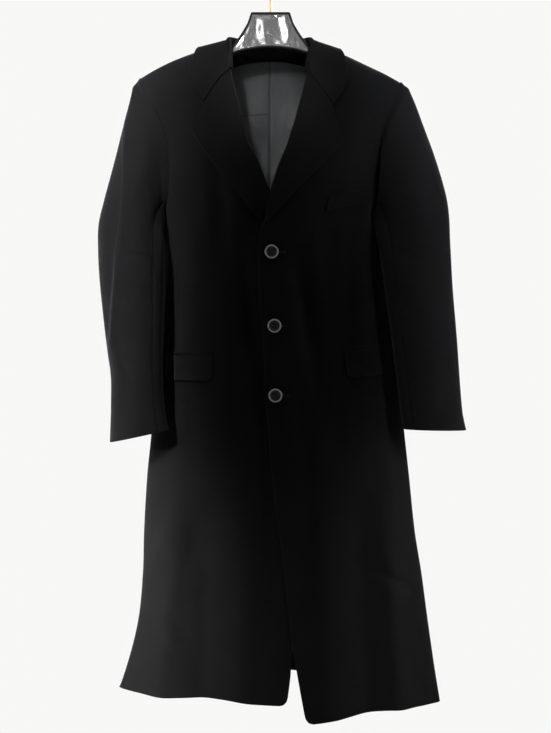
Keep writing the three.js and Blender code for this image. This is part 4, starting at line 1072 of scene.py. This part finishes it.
def through(points, at, corners):
    """A smooth curve through the points, at places counted in points. A corner stays sharp there."""
    last = len(points) - 1
    i = np.clip(np.floor(at).astype(int), 0, last - 1)
    t = (at - i).reshape((-1,) + (1,) * (points.ndim - 1))
    before, after = np.maximum(np.arange(last + 1) - 1, 0), np.minimum(np.arange(last + 1) + 1, last)
    slope = (points[after] - points[before]) / (after - before).reshape((-1,) + (1,) * (points.ndim - 1))
    leave, arrive = slope.copy(), slope.copy()
    for corner in corners:
        leave[corner] = points[corner + 1] - points[corner]
        arrive[corner] = points[corner] - points[corner - 1]
    p0, p1, m0, m1 = points[i], points[i + 1], leave[i], arrive[i + 1]
    return (
        (1 + 2 * t) * (1 - t) ** 2 * p0 + t * (1 - t) ** 2 * m0
        + t**2 * (3 - 2 * t) * p1 - t**2 * (1 - t) * m1
    )


def add_collar():
    """The collar, from its stand inside the neck over the fold to its fall outside."""
    stations = collar_stations()
    last = len(stations) - 1
    parts = [np.linspace(i, i + 1, 7)[:-1] for i in range(last)]
    near_corners = [0.02, 0.06, 1.94, 1.98, 2.02, 2.06, 13.94, 13.98, 14.02, 14.06, last - 0.06, last - 0.02]
    at = np.sort(np.concatenate(parts + [[last], near_corners]))
    smooth_rows = through(stations, at, ())
    sharp_rows = through(stations, at, CORNERS)
    fall = len(stations[0]) - len(FALLS)
    down = np.clip((np.arange(len(stations[0])) - fall) / (len(FALLS) - 1), 0, 1)
    grid = mix(smooth_rows, sharp_rows, (down**2)[None, :, None]).transpose(1, 0, 2)
    across = at[None, :]
    down = down[:, None]
    sway = 1.1 * np.sin(across * 1.9 + 0.6) + 0.8 * np.sin(across * 3.7 + down * 2.0)
    lift = sway * np.sin(np.pi * np.clip(down, 0, 1)) * 0.6
    lip = -STITCH_DEPTH * bell((1 - down) * COLLAR_FALL - 6.5, 1.7)
    tug = 0.9 * bell((down - 0.16) * COLLAR_FALL, 9) * np.sin(across * 2.6 + 1.0)
    stand_rows = np.arange(grid.shape[0])[:, None] < fall
    grid = grid + grid_normals(grid) * np.where(stand_rows, 0, lift + lip + tug)[..., None]
    clear = CLOTH + COLLAR_LIFT + COLLAR_FLARE * down**3 * np.ones(grid.shape[:2])
    pushed = push_out(grid, clear)
    row = np.arange(grid.shape[0])[:, None, None]
    grid = np.where(row >= fall, pushed, grid)
    piece = shell("collar_cloth", grid, CLOTH, [WOOL], rounding=1.0)
    place(piece, ["collar"], "wool_coating")


add_collar()

# How far the lapel's upper rows run under the collar, and how far its free edge stands off.
GORGE_TUCK, LAPEL_FLARE = 6.0, 2.1


def add_lapel(node):
    """The front's facing, turned back along the roll, with its notch at the upper edge."""
    which = node.split("_")[0]
    hand = HAND[which]
    rows = LAPELS[which]
    at, notch_x, notch_z = NOTCHES[which]
    last = len(rows["level"]) - 1
    rows = dict(rows, row=np.arange(last + 1.0))
    ends = [0, 0.012, 0.03, 0.06], [last - 0.04, last - 0.015, last]
    u = np.concatenate([ends[0], np.linspace(0.1, last - 0.1, 78), ends[1]])
    tuck = np.concatenate([[1, 0.8, 0.5, 0.2], np.zeros(len(u) - 4)])[:, None]
    columns = np.concatenate([np.linspace(0, 0.95, 48), [0.966, 0.98, 0.99, 0.996, 1]])
    t = 0.45 * columns + 0.55 * columns**2.4
    level, out_x, out_z = (along(rows, "row", u, column)[:, None] for column in ("level", "outX", "outZ"))
    in_x, in_z = edge_x(which, -level), -level
    part_low, part_high = np.clip(t / at, 0, 1), np.clip((t - at) / (1 - at), 0, 1)
    kink_x = np.where(t < at, mix(in_x, notch_x, part_low), mix(notch_x, out_x, part_high))
    kink_z = np.where(t < at, mix(in_z, notch_z, part_low), mix(notch_z, out_z, part_high))
    kinked = np.clip(1 - u[:, None], 0, 1) ** 1.5
    x, z = mix(mix(in_x, out_x, t), kink_x, kinked), mix(mix(in_z, out_z, t), kink_z, kinked)
    width = np.hypot(out_x - in_x, out_z - in_z)
    share = smooth(width / ROLL_WIDTH)
    reach = np.hypot(x - in_x, z - in_z)
    under_collar = tuck * smooth((at - t) / 0.1) * smooth(reach / 6)
    x, z = x + hand * GORGE_TUCK * 0.25 * under_collar, z + GORGE_TUCK * under_collar
    stand = CLOTH + LAPEL_LIFT + share * LAPEL_ROLL * np.exp(-reach / ROLL_FADE)
    turned = np.sqrt(np.clip(1 - (1 - np.clip(reach / mix(2.0, 5.5, share), 0, 1)) ** 2, 0, 1))
    stand = mix(mix(CLOTH + LAPEL_LIFT, -LAPEL_SINK, share), stand, turned)
    to_edge = width - reach
    stand = stand - STITCH_DEPTH * bell(to_edge - 7, 1.7) * smooth(reach / 20)
    stand = stand + (LAPEL_FLARE + 0.8 * np.sin(u[:, None] * 1.7 + hand)) * bell(to_edge, 15) * share
    sway = 0.9 * share * np.sin(u[:, None] * 2.3 + t * 2.4 + hand)
    stand = stand + sway * smooth(reach / 25) * smooth(to_edge / 15)
    stand = mix(stand, np.minimum(stand, CLOTH + LAPEL_LIFT - 0.6), under_collar)
    points = finished(which, x, z, stand)
    points[..., 0] -= hand * 0.4 * (1 - turned)
    points[..., 1] = np.minimum(points[..., 1], -SEAM)
    grid = points if which == "left" else points[:, ::-1]
    piece = shell(node + "_cloth", grid, CLOTH, [WOOL], rounding=0.9)
    place(piece, [node], "wool_coating")


add_lapel("right_lapel")
add_lapel("left_lapel")

# ------------------------------------------------------------------ pockets, lining and buttons

# A flap's rounded corner, the cut of a jet, and the left flap's turned-up corner: a line and its rise.
TURNED_CORNER, JET_CUT = 13.0, 12.0
LEFT_CURL = ((155, -716), (206, -745), 3.0)


def add_patch(node, which, corners, round_low, curl):
    """A welt, jet or flap on the finished surface of a front, its lower corners rounded if asked."""
    (x0, z0), (x1, z1), (x2, z2), (x3, z3) = corners
    wide, tall = math.hypot(x1 - x0, z1 - z0), math.hypot(x3 - x0, z3 - z0)
    columns, rows = max(8, int(wide / 2.4)), max(6, int(tall / 2.2))
    inner = np.linspace(0.05, 0.95, columns)
    across = np.concatenate([[0, 0.006, 0.015, 0.03], inner, [0.97, 0.985, 0.994, 1]])
    down = np.concatenate([[0, 0.02, 0.05], np.linspace(0.1, 0.9, rows), [0.94, 0.97, 0.99, 1]])
    s, t = across[None, :], down[:, None]
    if round_low:
        cut = TURNED_CORNER / tall
        inset = np.where(t > 1 - cut, 1 - np.sqrt(np.clip(1 - ((t - 1 + cut) / cut) ** 2, 0, 1)), 0)
        s = mix(inset * TURNED_CORNER / wide, 1 - inset * TURNED_CORNER / wide, s)
    s, t = np.broadcast_arrays(s, t)
    x = mix(mix(x0, x1, s), mix(x3, x2, s), t)
    z = mix(mix(z0, z1, s), mix(z3, z2, s), t)
    edge = np.minimum(np.minimum(s, 1 - s) * wide, (1 - t) * tall)
    stand = TRIM + PATCH_LIFT + 0.25 * np.sin(s * 7 + t * 3)
    if tall > 15:
        stand = stand - 0.4 * bell(edge - 5, 1.4) + (0.35 * t if tall < 35 else 2.2 * t**2)
    if curl:
        (ax, az), (bx, bz), height = curl
        off = beside_line(x - ax, z - az, bx - ax, bz - az)[1]
        below = np.clip(off / 22, 0, 1)
        stand = stand + height * smooth(below) + 0.9 * bell(off, 5)
    points = finished(which, x, z, stand)
    grid = points if which == "left" else points[:, ::-1]
    piece = shell(node + "_cloth", grid, TRIM, [WOOL], rounding=0.7)
    place(piece, [node], "wool_coating")
    cut = (round(wide / 1000, 3), round(max(tall, JET_CUT) / 1000, 3))


for patch_name, (patch_side, patch_corners) in PATCHES.items():
    patch_curl = LEFT_CURL if patch_name == "left_pocket_flap" else None
    add_patch(patch_name, patch_side, patch_corners, "flap" in patch_name, patch_curl)


def tubes(name, paths, radius, sides, materials, closed=False):
    """Round strands along paths, in one mesh. The ends of an open strand are capped."""
    verts, faces = [], []
    for path in paths:
        path = np.asarray(path, float)
        n = len(path)
        if closed:
            along_path = unit(np.roll(path, -1, 0) - np.roll(path, 1, 0))
        else:
            along_path = unit(np.gradient(path, axis=0))
        helper = np.array([0.0, 1.0, 0.0]) if abs(along_path[0][1]) < 0.9 else np.array([1.0, 0, 0])
        a = unit(np.cross(along_path, helper))
        for i in range(1, n):
            a[i] = unit(a[i - 1] - along_path[i] * np.dot(a[i - 1], along_path[i]))
        b = np.cross(along_path, a)
        size = radius if np.ndim(radius) else np.full(n, radius)
        base = len(verts)
        for i in range(n):
            for k in range(sides):
                turn = 2 * math.pi * k / sides
                verts.append(path[i] + (a[i] * math.cos(turn) + b[i] * math.sin(turn)) * size[i])
        for i in range(n if closed else n - 1):
            j = (i + 1) % n
            for k in range(sides):
                m = (k + 1) % sides
                here, there = base + i * sides, base + j * sides
                faces.append((here + k, here + m, there + m, there + k))
        if not closed:
            faces.append(tuple(base + k for k in range(sides))[::-1])
            faces.append(tuple(base + (n - 1) * sides + k for k in range(sides)))
    return make_object(name, np.array(verts), faces, materials)


# Wrinkles of the lining: x and level of both ends, width and depth, towards the front if positive.
LINING_WRINKLES = table(
    "x1 level1 x2 level2 width depth",
    (-60, 215, -12, 300, 8, 2.6), (-78, 300, -20, 380, 10, 3.2), (-44, 270, -22, 330, 6, 1.8),
    (30, 240, 64, 330, 8, 2.2), (16, 300, 60, 380, 9, 2.6), (34, 210, 22, 290, 7, 1.4),
    (-64, 190, -50, 250, 12, -1.4), (40, 196, 26, 290, 12, -1.2), (-12, 320, -2, 520, 9, 11.0),
    (10, 330, 14, 510, 6, 6.0), (-30, 340, -22, 520, 6, -6.0), (34, 340, 30, 520, 7, -6.0),
    (-6, 300, -2, 420, 3.2, 1.8), (7, 320, 9, 430, 2.6, 1.6), (-18, 310, -12, 420, 3.0, -1.6),
)
# The level of the right half's cross seam, and the half width of the black thread in the lining's seams,
# which is stitching and also paints the seams' shade.
LINING_YOKE, THREAD_RADIUS = 251.0, 0.55


def add_lining(which):
    """Half of the lining inside the back, with wrinkles, and black sewing threads in its seams that also
    paint the seams' shade as dark lines.
    """
    node, hand = which + "_back_lining", HAND[which]
    s = np.concatenate([[0, 0.003, 0.008, 0.018, 0.03], np.linspace(0.05, 1, 44)])
    t = np.linspace(0, 1, 190)[:, None]
    x = LINING_SEAM + hand * mix(SEAM / 2, LINING_HALF, s)[None, :]
    top = np.maximum(NECK_DROP + 1 + 13 * (x / 74) ** 2, -shoulder_z(x) + 27)
    z = -mix(top, LINING_BOTTOM, t)
    x = np.broadcast_to(x, z.shape)
    points = off_surface(1, lambda px, pz: body_y(1, px, pz), x, z, np.full(z.shape, -CLOTH - LINING_INSIDE))
    points[..., 0] = x
    away = hand * (x - LINING_SEAM)
    wrinkle = line_sum(LINING_WRINKLES, x, z) + 0.7 * ripple(x, z, 34.0, 1.9 + hand)
    wrinkle = wrinkle * smooth(away / 14) - 1.0 * bell(away, 2.4)
    yoke = bell(z + LINING_YOKE + 0.03 * x, 2.2)
    on_yoke = 1 if hand < 0 else 0
    wrinkle = wrinkle - 0.3 * yoke * on_yoke * smooth((50 + x) / 6)
    points[..., 1] -= np.maximum(wrinkle, -2.4)
    # black thread along the centre seam and the cross seam: stitching, and a painted dark line for each
    # seam's shade
    seam_shade_rows = [points[4:130, 0] - (hand * 0.3, 0.25, 0)]
    if on_yoke:
        at = np.abs(z[:, 20] + LINING_YOKE).argmin()
        seam_shade_rows.append(points[at, 4:44] - (0, 0.2, 0))
    seam_shade_threads = tubes(node + "_seam", seam_shade_rows, THREAD_RADIUS, 8, [THREAD])
    place(seam_shade_threads, [], "satin_lining")
    grid = points if hand > 0 else points[:, ::-1]

    def keep(corner):
        corner = corner.copy()
        beyond = hand * (corner[..., 0] - LINING_SEAM) < SEAM / 2
        corner[..., 0] = np.where(beyond, LINING_SEAM + hand * SEAM / 2, corner[..., 0])
        return corner

    piece = shell(node + "_satin", grid, SATIN, [SATIN_CLOTH], rounding=SEAM_ROUNDING, keep=keep)
    place(piece, [node], "satin_lining")


add_lining("right")
add_lining("left")

BUTTON_RADIUS, BUTTON_THICK, BUTTON_RIM, BUTTON_DISH = 12.4, 4.4, 2.6, 1.5
HOLE_RADIUS, HOLE_SPREAD = 1.25, 2.7
BUTTON_TURNS = {"top": 0.06, "middle": -0.05, "bottom": 0.12}


def arc(centre_r, centre_h, radius, start, end, count):
    """Points of a profile on an arc, from one angle in degrees to the other."""
    turns = np.radians(np.linspace(start, end, count))
    return [(centre_r + radius * math.cos(a), centre_h + radius * math.sin(a)) for a in turns]


def lathe(profile, sides):
    """A closed solid of revolution about +Z, its profile running from the axis to the axis."""
    profile = np.array(profile)
    turns = np.linspace(0, 2 * np.pi, sides, endpoint=False)
    ring = profile[1:-1]
    verts = [(0, 0, profile[0][1]), (0, 0, profile[-1][1])]
    for a in turns:
        verts += [(r * math.cos(a), r * math.sin(a), h) for r, h in ring]
    n = len(ring)
    faces = []
    for k in range(sides):
        a, b = 2 + k * n, 2 + (k + 1) % sides * n
        faces.append((0, b, a))
        faces.append((1, a + n - 1, b + n - 1))
        faces += [(a + i, b + i, b + i + 1, a + i + 1) for i in range(n - 1)]
    return np.array(verts, float), faces


def rods(places, radius, low, high, sides=20):
    """Upright closed cylinders."""
    verts, faces = [], []
    for cx, cy in places:
        base = len(verts)
        for h in (low, high):
            for k in range(sides):
                a = 2 * math.pi * k / sides
                verts.append((cx + radius * math.cos(a), cy + radius * math.sin(a), h))
        faces.append(tuple(base + k for k in range(sides))[::-1])
        faces.append(tuple(base + sides + k for k in range(sides)))
        for k in range(sides):
            n = (k + 1) % sides
            faces.append((base + k, base + n, base + sides + n, base + sides + k))
    return verts, faces


def button_seat(x, z):
    """Where a button sits on the left front: its seat and three axes, the last one outwards."""
    x, z = np.array(x, float), np.array(z, float)
    seat, outside = (raised("left", x, z, np.array(amount)) for amount in (LAY, 10.0))
    axis = unit(outside - seat)
    side = unit(np.cross(axis, [0, 0, 1.0]))
    return seat, side, np.cross(side, axis) * -1, axis


def add_button(name, x, z, turn):
    """A four-hole button with a rounded rim round a sunk floor, and the thread across its holes."""
    radius, inside_rim, spread = BUTTON_RADIUS, BUTTON_RADIUS - BUTTON_RIM, HOLE_SPREAD
    thick, floor = BUTTON_THICK, BUTTON_THICK - BUTTON_DISH
    profile = [(0, 0), (radius - 2.6, 0)] + arc(radius - 2.6, 2.1, 2.1, -90, -20, 6)[1:]
    profile += arc(radius - 1.25, thick - 1.25, 1.25, 0, 90, 7)
    profile += arc(inside_rim, thick - 0.5, 0.5, 90, 150, 4)
    profile += arc(inside_rim - 1.7, floor + 1.1, 1.1, -20, -90, 5)
    profile += [(spread * 1.9, floor), (0, floor - 0.12)]
    disc = make_object(name + "_disc", *lathe(profile, 72), [HORN])
    holes = [(a * spread, b * spread) for a in (-1, 1) for b in (-1, 1)]
    drill = make_object(name + "_drill", *rods(holes, HOLE_RADIUS, -3, 8), [HORN])
    cut = disc.modifiers.new("holes", "BOOLEAN")
    cut.operation, cut.object, cut.solver = "DIFFERENCE", drill, "EXACT"
    seen = disc.evaluated_get(bpy.context.evaluated_depsgraph_get())
    mesh = bpy.data.meshes.new_from_object(seen)
    for made in (disc, drill):
        bpy.data.objects.remove(made)
    seat, side, up, axis = button_seat(x, z)
    c, s = math.cos(turn), math.sin(turn)
    frame_axes = np.array([side * c + up * s, up * c - side * s, axis])
    mesh.materials.append(HORN_DISH)
    for face in mesh.polygons:
        inside = face.center.xy.length < (inside_rim - 0.3) * 0.001
        face.material_index = 1 if inside and face.center.z > 0.5e-3 else 0
    count = len(mesh.vertices)
    points = np.empty(count * 3)
    mesh.vertices.foreach_get("co", points)
    placed = seat * 0.001 + points.reshape(-1, 3) @ frame_axes
    mesh.vertices.foreach_set("co", placed.ravel())
    mesh.update()
    piece = add_to_scene(name + "_horn", mesh)
    mesh.polygons.foreach_set("use_smooth", np.ones(len(mesh.polygons), bool))
    mesh.set_sharp_from_angle(angle=math.radians(38))
    place(piece, [name], "button_horn")
    paths = []
    for b in (-1, 1):
        for lane in (-0.42, 0, 0.42):
            t = np.linspace(0, 1, 13)
            across = mix(-spread, spread, t)
            height = floor - 1.3 + 2.15 * np.sin(np.pi * t) ** 0.45 - 0.15 * abs(lane)
            local = stack(across, b * spread + lane, height)
            paths.append(seat + local @ frame_axes)
    thread = tubes(name + "_thread", paths, 0.33, 8, [THREAD])
    place(thread, [], "button_horn")


# A buttonhole from the button's middle: where it starts, its length and half its width.
HOLE_START, HOLE_LENGTH, HOLE_HALF = 4.0, 19.0, 1.25


def add_buttonhole(name, x, z):
    """The worked edge of a buttonhole: a stitched loop that runs from under the button to the right."""
    turn = np.linspace(0, 2 * np.pi, 160, endpoint=False)
    long = HOLE_LENGTH / 2
    px = x + HOLE_START + long + np.clip(np.cos(turn) * (long + HOLE_HALF), -long, long)
    px = px + np.cos(turn) * HOLE_HALF * 0.8
    pz = z + np.sin(turn) ** 3 * 0.2 + np.clip(np.sin(turn) * 9, -1, 1) * HOLE_HALF
    stitch = 0.58 + 0.12 * np.abs(np.sin(turn * 44))
    path = finished("left", px, pz, np.full(px.shape, 0.25))
    loop = tubes(name, [path], stitch, 8, [THREAD], closed=True)
    place(loop, [], "button_horn")


for button_name, button_place in BUTTONS.items():
    add_button("button_" + button_name, *button_place, BUTTON_TURNS[button_name])
    add_buttonhole("buttonhole_" + button_name, *button_place)

# ------------------------------------------------------------------ hanger

PLATE_OUTLINE = ((36, -76.5), (42, -96), (52, -113), (63, -129), (72.5, -142), (72.5, -155))
PLATE_ARCH, PLATE_FRONT, PLATE_THICK = -142.0, -9.0, 15.0
PLATE_FRAME, PLATE_RECESS = 3.4, 1.6
PLATE_CORNER, FOOT_CORNER, BEND_CORNER = 3.0, 1.6, 5.0
PLATE_ROUND, PANEL_ROUND, PLATE_CENTRE = 2.2, 0.9, (0.0, -118.0)


def bend(start, middle, end, t):
    return (1 - t) ** 2 * start + 2 * t * (1 - t) * middle + t**2 * end


def rounded_corner(before, here, after, radius, count=5):
    """Points of a rounded corner between two straight edges."""
    here = np.array(here, float)
    a, b = np.array(before, float) - here, np.array(after, float) - here
    reach = min(radius, np.linalg.norm(a) / 2.2, np.linalg.norm(b) / 2.2)
    start, end = here + unit(a) * reach, here + unit(b) * reach
    return list(bend(start, here, end, np.linspace(0, 1, count)[:, None]))


def plate_loop(spacing):
    """The plate's outline, all round, with points about `spacing` apart."""
    right = [np.array(p, float) for p in PLATE_OUTLINE]
    left = [np.array((-x, z), float) for x, z in PLATE_OUTLINE[::-1]]
    corners = right + left
    count = len(corners)
    foot_right, foot_left = len(right) - 1, len(right)
    loop = []
    for i, here in enumerate(corners):
        radius = FOOT_CORNER if i in (foot_right, foot_left) else BEND_CORNER
        if i in (0, count - 1):
            radius = PLATE_CORNER
        before = here + (30, 9.3) if i == foot_left else corners[i - 1]
        after = here + (-30, 9.3) if i == foot_right else corners[(i + 1) % count]
        loop += rounded_corner(before, here, after, radius)
        if i == foot_right:
            start, end = loop[-1], np.array((-loop[-1][0], loop[-1][1]))
            t = np.linspace(0, 1, 30)[1:-1, None]
            middle = np.array((0, 2 * PLATE_ARCH - start[1]))
            loop += list(bend(start, middle, end, t))
    loop = np.array(loop)
    closed = np.vstack([loop, loop[:1]])
    length = np.concatenate([[0], np.cumsum(np.linalg.norm(np.diff(closed, axis=0), axis=1))])
    places = np.linspace(0, length[-1], int(length[-1] / spacing) + 1)[:-1]
    return np.stack([np.interp(places, length, closed[:, k]) for k in (0, 1)], axis=1)


def add_plate():
    """The hanger's moulded centre: a rounded raised frame round a sunk panel with a dented skin."""
    loop = plate_loop(1.6)
    along_loop = unit(np.roll(loop, -1, 0) - np.roll(loop, 1, 0))
    inward = np.stack([along_loop[:, 1], -along_loop[:, 0]], axis=1)
    for _ in range(3):
        inward = unit(inward + np.roll(inward, 1, 0) + np.roll(inward, -1, 0))
    centre = np.array(PLATE_CENTRE)
    if np.sum(inward[0] * (centre - loop[0])) < 0:
        inward = -inward
    back = PLATE_FRONT + PLATE_THICK
    rings = [(4.0, back), (1.2, back), (0.3, back - 0.8), (0, back - PLATE_ROUND)]
    for turn in np.radians(np.linspace(0, 90, 6)):
        rings.append((PLATE_ROUND * (1 - math.cos(turn)), PLATE_FRONT + PLATE_ROUND * (1 - math.sin(turn))))
    rings.append((PLATE_FRAME, PLATE_FRONT))
    for turn in np.radians(np.linspace(20, 90, 4)):
        sunk = PLATE_RECESS * (1 - math.cos(turn))
        rings.append((PLATE_FRAME + PANEL_ROUND * math.sin(turn), PLATE_FRONT + sunk))
    verts = [np.insert(centre, 1, back)]
    for deep, y in rings:
        ring = loop + inward * deep
        verts += list(np.stack([ring[:, 0], np.full(len(ring), y), ring[:, 1]], axis=1))
    edge = loop + inward * rings[-1][0]
    fills = np.linspace(1, 0, 26)[1:-1]
    for share in fills:
        ring = centre + (edge - centre) * share
        x, z = ring[:, 0], ring[:, 1]
        dent = 0.40 * ripple(x, z * 0.45, 13.0, 0.8) + 0.8 * ripple(x, z * 0.6, 30.0, 2.6)
        y = PLATE_FRONT + PLATE_RECESS + dent * min(1, (1 - share) * 7)
        verts += list(np.stack([x, y, z], axis=1))
    verts.append(np.array((centre[0], PLATE_FRONT + PLATE_RECESS, centre[1])))
    n, count = len(loop), len(rings) + len(fills)
    faces = []
    for r in range(count - 1):
        for k in range(n):
            a, b = 1 + r * n + k, 1 + r * n + (k + 1) % n
            faces.append((a, b, b + n, a + n))
    last = len(verts) - 1
    for k in range(n):
        m = (k + 1) % n
        faces.append((0, 1 + m, 1 + k))
        faces.append((last, 1 + (count - 1) * n + k, 1 + (count - 1) * n + m))
    flat_ring = 1 + (len(rings) - 1) * n
    kinds = [1 if min(face) > 0 and min(face) < flat_ring else 0 for face in faces]
    piece = make_object("hanger_centre", np.array(verts), faces, [PLASTIC, FRAME_PLASTIC], kinds)
    fix_normals(piece)
    place(piece, ["hanger_plate"], "hanger_plastic")


def fix_normals(piece):
    bm = bmesh.new()
    bm.from_mesh(piece.data)
    bmesh.ops.recalc_face_normals(bm, faces=bm.faces)
    bm.to_mesh(piece.data)
    bm.free()


HOOK_WIRE, HOOK_BEND, HOOK_STEM, HOOK_TIP = 1.9, 19.9, 50, 35


def add_hook():
    """A bent brass wire with a rounded tip, from the plate's top edge."""
    centre = HOOK_WIRE - HOOK_BEND
    points = [(0, 0, PLATE_OUTLINE[0][1] + SEAM), (0, 0, -HOOK_STEM - 8), (0, -3, -HOOK_STEM)]
    for turn in range(235, -HOOK_TIP - 1, -15):
        angle = math.radians(turn)
        points.append((0, HOOK_BEND * math.cos(angle), centre + HOOK_BEND * math.sin(angle)))
    points = np.array(points, float)
    gaps = np.linalg.norm(np.diff(points, axis=0), axis=1)
    at = np.concatenate([i + np.linspace(0, 1, max(3, int(gap / 1.3)))[:-1] for i, gap in enumerate(gaps)])
    path = through(points, np.append(at, len(points) - 1), ())
    size = np.full(len(path), HOOK_WIRE)
    size[0] = HOOK_WIRE * 0.9
    tip = np.linalg.norm(path - path[-1], axis=1)
    near = tip < HOOK_WIRE
    rounded = np.sqrt(np.clip(HOOK_WIRE**2 - (HOOK_WIRE - tip[near]) ** 2, 0, None))
    size[near] = np.maximum(rounded, 0.35)
    piece = tubes("hook_wire", [path], size, 24, [BRASS])
    place(piece, ["hanger_hook"], "hook_brass")


add_plate()
add_hook()
for arm_name in ("hanger_right_arm", "hanger_left_arm"):
    arm_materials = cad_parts[arm_name].data.materials
    arm_materials.clear()
    arm_materials.append(PLASTIC)

# ------------------------------------------------------------------ floor, light and camera

# In metres.
FLOOR_LEVEL, FLOOR_RADIUS, FLOOR_SIDES = -2.0, 1.6, 96


def add_floor():
    turns = np.linspace(0, 2 * np.pi, FLOOR_SIDES + 1)[:-1]
    verts = [(FLOOR_RADIUS * math.cos(a), FLOOR_RADIUS * math.sin(a), FLOOR_LEVEL) for a in turns]
    floor = make_object("floor", np.array(verts) * 1000, [tuple(range(len(verts)))], [floor_material()])


SOFT_WHITE, COOL_WHITE, WARM_WHITE = (1.0, 0.995, 0.985), (0.97, 0.985, 1.0), (1.0, 0.975, 0.92)
# Soft boxes: place, the point they face, size, watts, tint, and how wide they shine in degrees.
# Places are in metres and "left" is the viewer's. The three lamps make the streaks on the plate.
LIGHTS = (
    ("left_window", (-2.2, -0.5, -0.4), (-0.2, -0.05, -0.6), (0.7, 1.5), 7.0, SOFT_WHITE, 180),
    ("left_sleeve", (-1.1, -1.9, 0.45), (-0.285, 0, -0.57), (0.12, 0.9), 2.0, SOFT_WHITE, 9.5),
    ("left_skirt", (-1.8, -1.4, -0.7), (-0.24, 0, -1.28), (0.12, 0.6), 2.0, WARM_WHITE, 13),
    ("left_shoulder", (-1.2, -1.2, 0.9), (-0.18, 0, -0.32), (0.12, 0.12), 0.11, SOFT_WHITE, 11),
    ("right_window", (2.2, -0.5, -0.3), (0.25, -0.05, -0.6), (0.7, 1.5), 14, COOL_WHITE, 180),
    ("right_sleeve", (1.1, -1.9, 0.5), (0.33, 0, -0.57), (0.12, 0.8), 0.55, COOL_WHITE, 10),
    ("right_skirt", (1.8, -1.4, -0.7), (0.24, 0, -1.2), (0.12, 0.5), 0.34, WARM_WHITE, 13),
    ("right_shoulder", (1.2, -1.2, 0.9), (0.2, 0, -0.32), (0.12, 0.12), 0.11, COOL_WHITE, 11),
    ("neck_light", (-0.5, -1.8, 0.8), (-0.01, 0, -0.215), (0.15, 0.1), 0.19, SOFT_WHITE, 8.5),
    ("lining_light", (0.15, -2.2, 0.1), (0, 0, -0.15), (0.1, 0.1), 0.010, SOFT_WHITE, 5.5),
    ("top_light", (-0.3, -0.5, 1.2), (0, -0.05, -0.2), (1.2, 0.5), 6, COOL_WHITE, 180),
    ("rear_light", (0.5, 1.9, 0.7), (0, 0.5, -1.2), (1.6, 1.2), 90, SOFT_WHITE, 180),
    ("rear_window", (-2.2, 1.6, -0.6), (0, 0.1, -0.7), (0.8, 1.5), 60, COOL_WHITE, 180),
    ("lamp", (-0.66, -2.0, 0.5), (0, 0, -0.12), (0.09, 0.5), 0.009, (1, 1, 1), 8),
    ("lamp", (-0.16, -2.0, 0.5), (0, 0, -0.12), (0.09, 0.5), 0.009, (1, 1, 1), 8),
    ("lamp", (0.36, -2.0, 0.5), (0, 0, -0.12), (0.09, 0.5), 0.009, (1, 1, 1), 8),
)
ROOM_COLOUR, ROOM_LIGHT, ROOM_STRENGTH = (0.935, 0.935, 0.925, 1), (0.76, 0.77, 0.79, 1), 0.035
CAMERA_PLACE, CAMERA_LENS, CAMERA_SENSOR = (0.00925, -2.0, -0.7298), 53.1, 36.0


def area_light(name, place_at, aim, size, power, colour, spread):
    data = bpy.data.lights.new(name, "AREA")
    data.spread = math.radians(spread)
    data.shape, data.size, data.size_y = "RECTANGLE", size[0], size[1]
    data.energy, data.color = power, colour
    light = add_to_scene(name, data)
    light.location = place_at
    light.rotation_euler = (Vector(aim) - Vector(place_at)).to_track_quat("-Z", "Y").to_euler()


def add_world():
    """A pale room behind the coat, and softer light from it on the coat itself."""
    world = bpy.data.worlds.new("pale_room")
    bpy.context.scene.world = world
    world.use_nodes = True
    tree = world.node_tree
    shown = tree.nodes["Background"]
    shown.inputs["Color"].default_value = ROOM_COLOUR
    light = add_node(tree, "ShaderNodeBackground", {"Color": ROOM_LIGHT, "Strength": ROOM_STRENGTH})
    ray = add_node(tree, "ShaderNodeLightPath")
    inputs = {0: ray.outputs["Is Diffuse Ray"], 1: shown.outputs[0], 2: light.outputs[0]}
    both = add_node(tree, "ShaderNodeMixShader", inputs)
    tree.links.new(both.outputs[0], tree.nodes["World Output"].inputs["Surface"])


def add_camera():
    data = bpy.data.cameras.new("camera")
    data.sensor_width, data.sensor_fit, data.lens = CAMERA_SENSOR, "AUTO", CAMERA_LENS
    camera = add_to_scene("camera", data)
    camera.location, camera.rotation_euler = CAMERA_PLACE, (math.pi / 2, 0, 0)
    bpy.context.scene.camera = camera


add_floor()
add_world()
for light_row in LIGHTS:
    area_light(*light_row)
add_camera()
bpy.context.scene.view_settings.view_transform = "Standard"
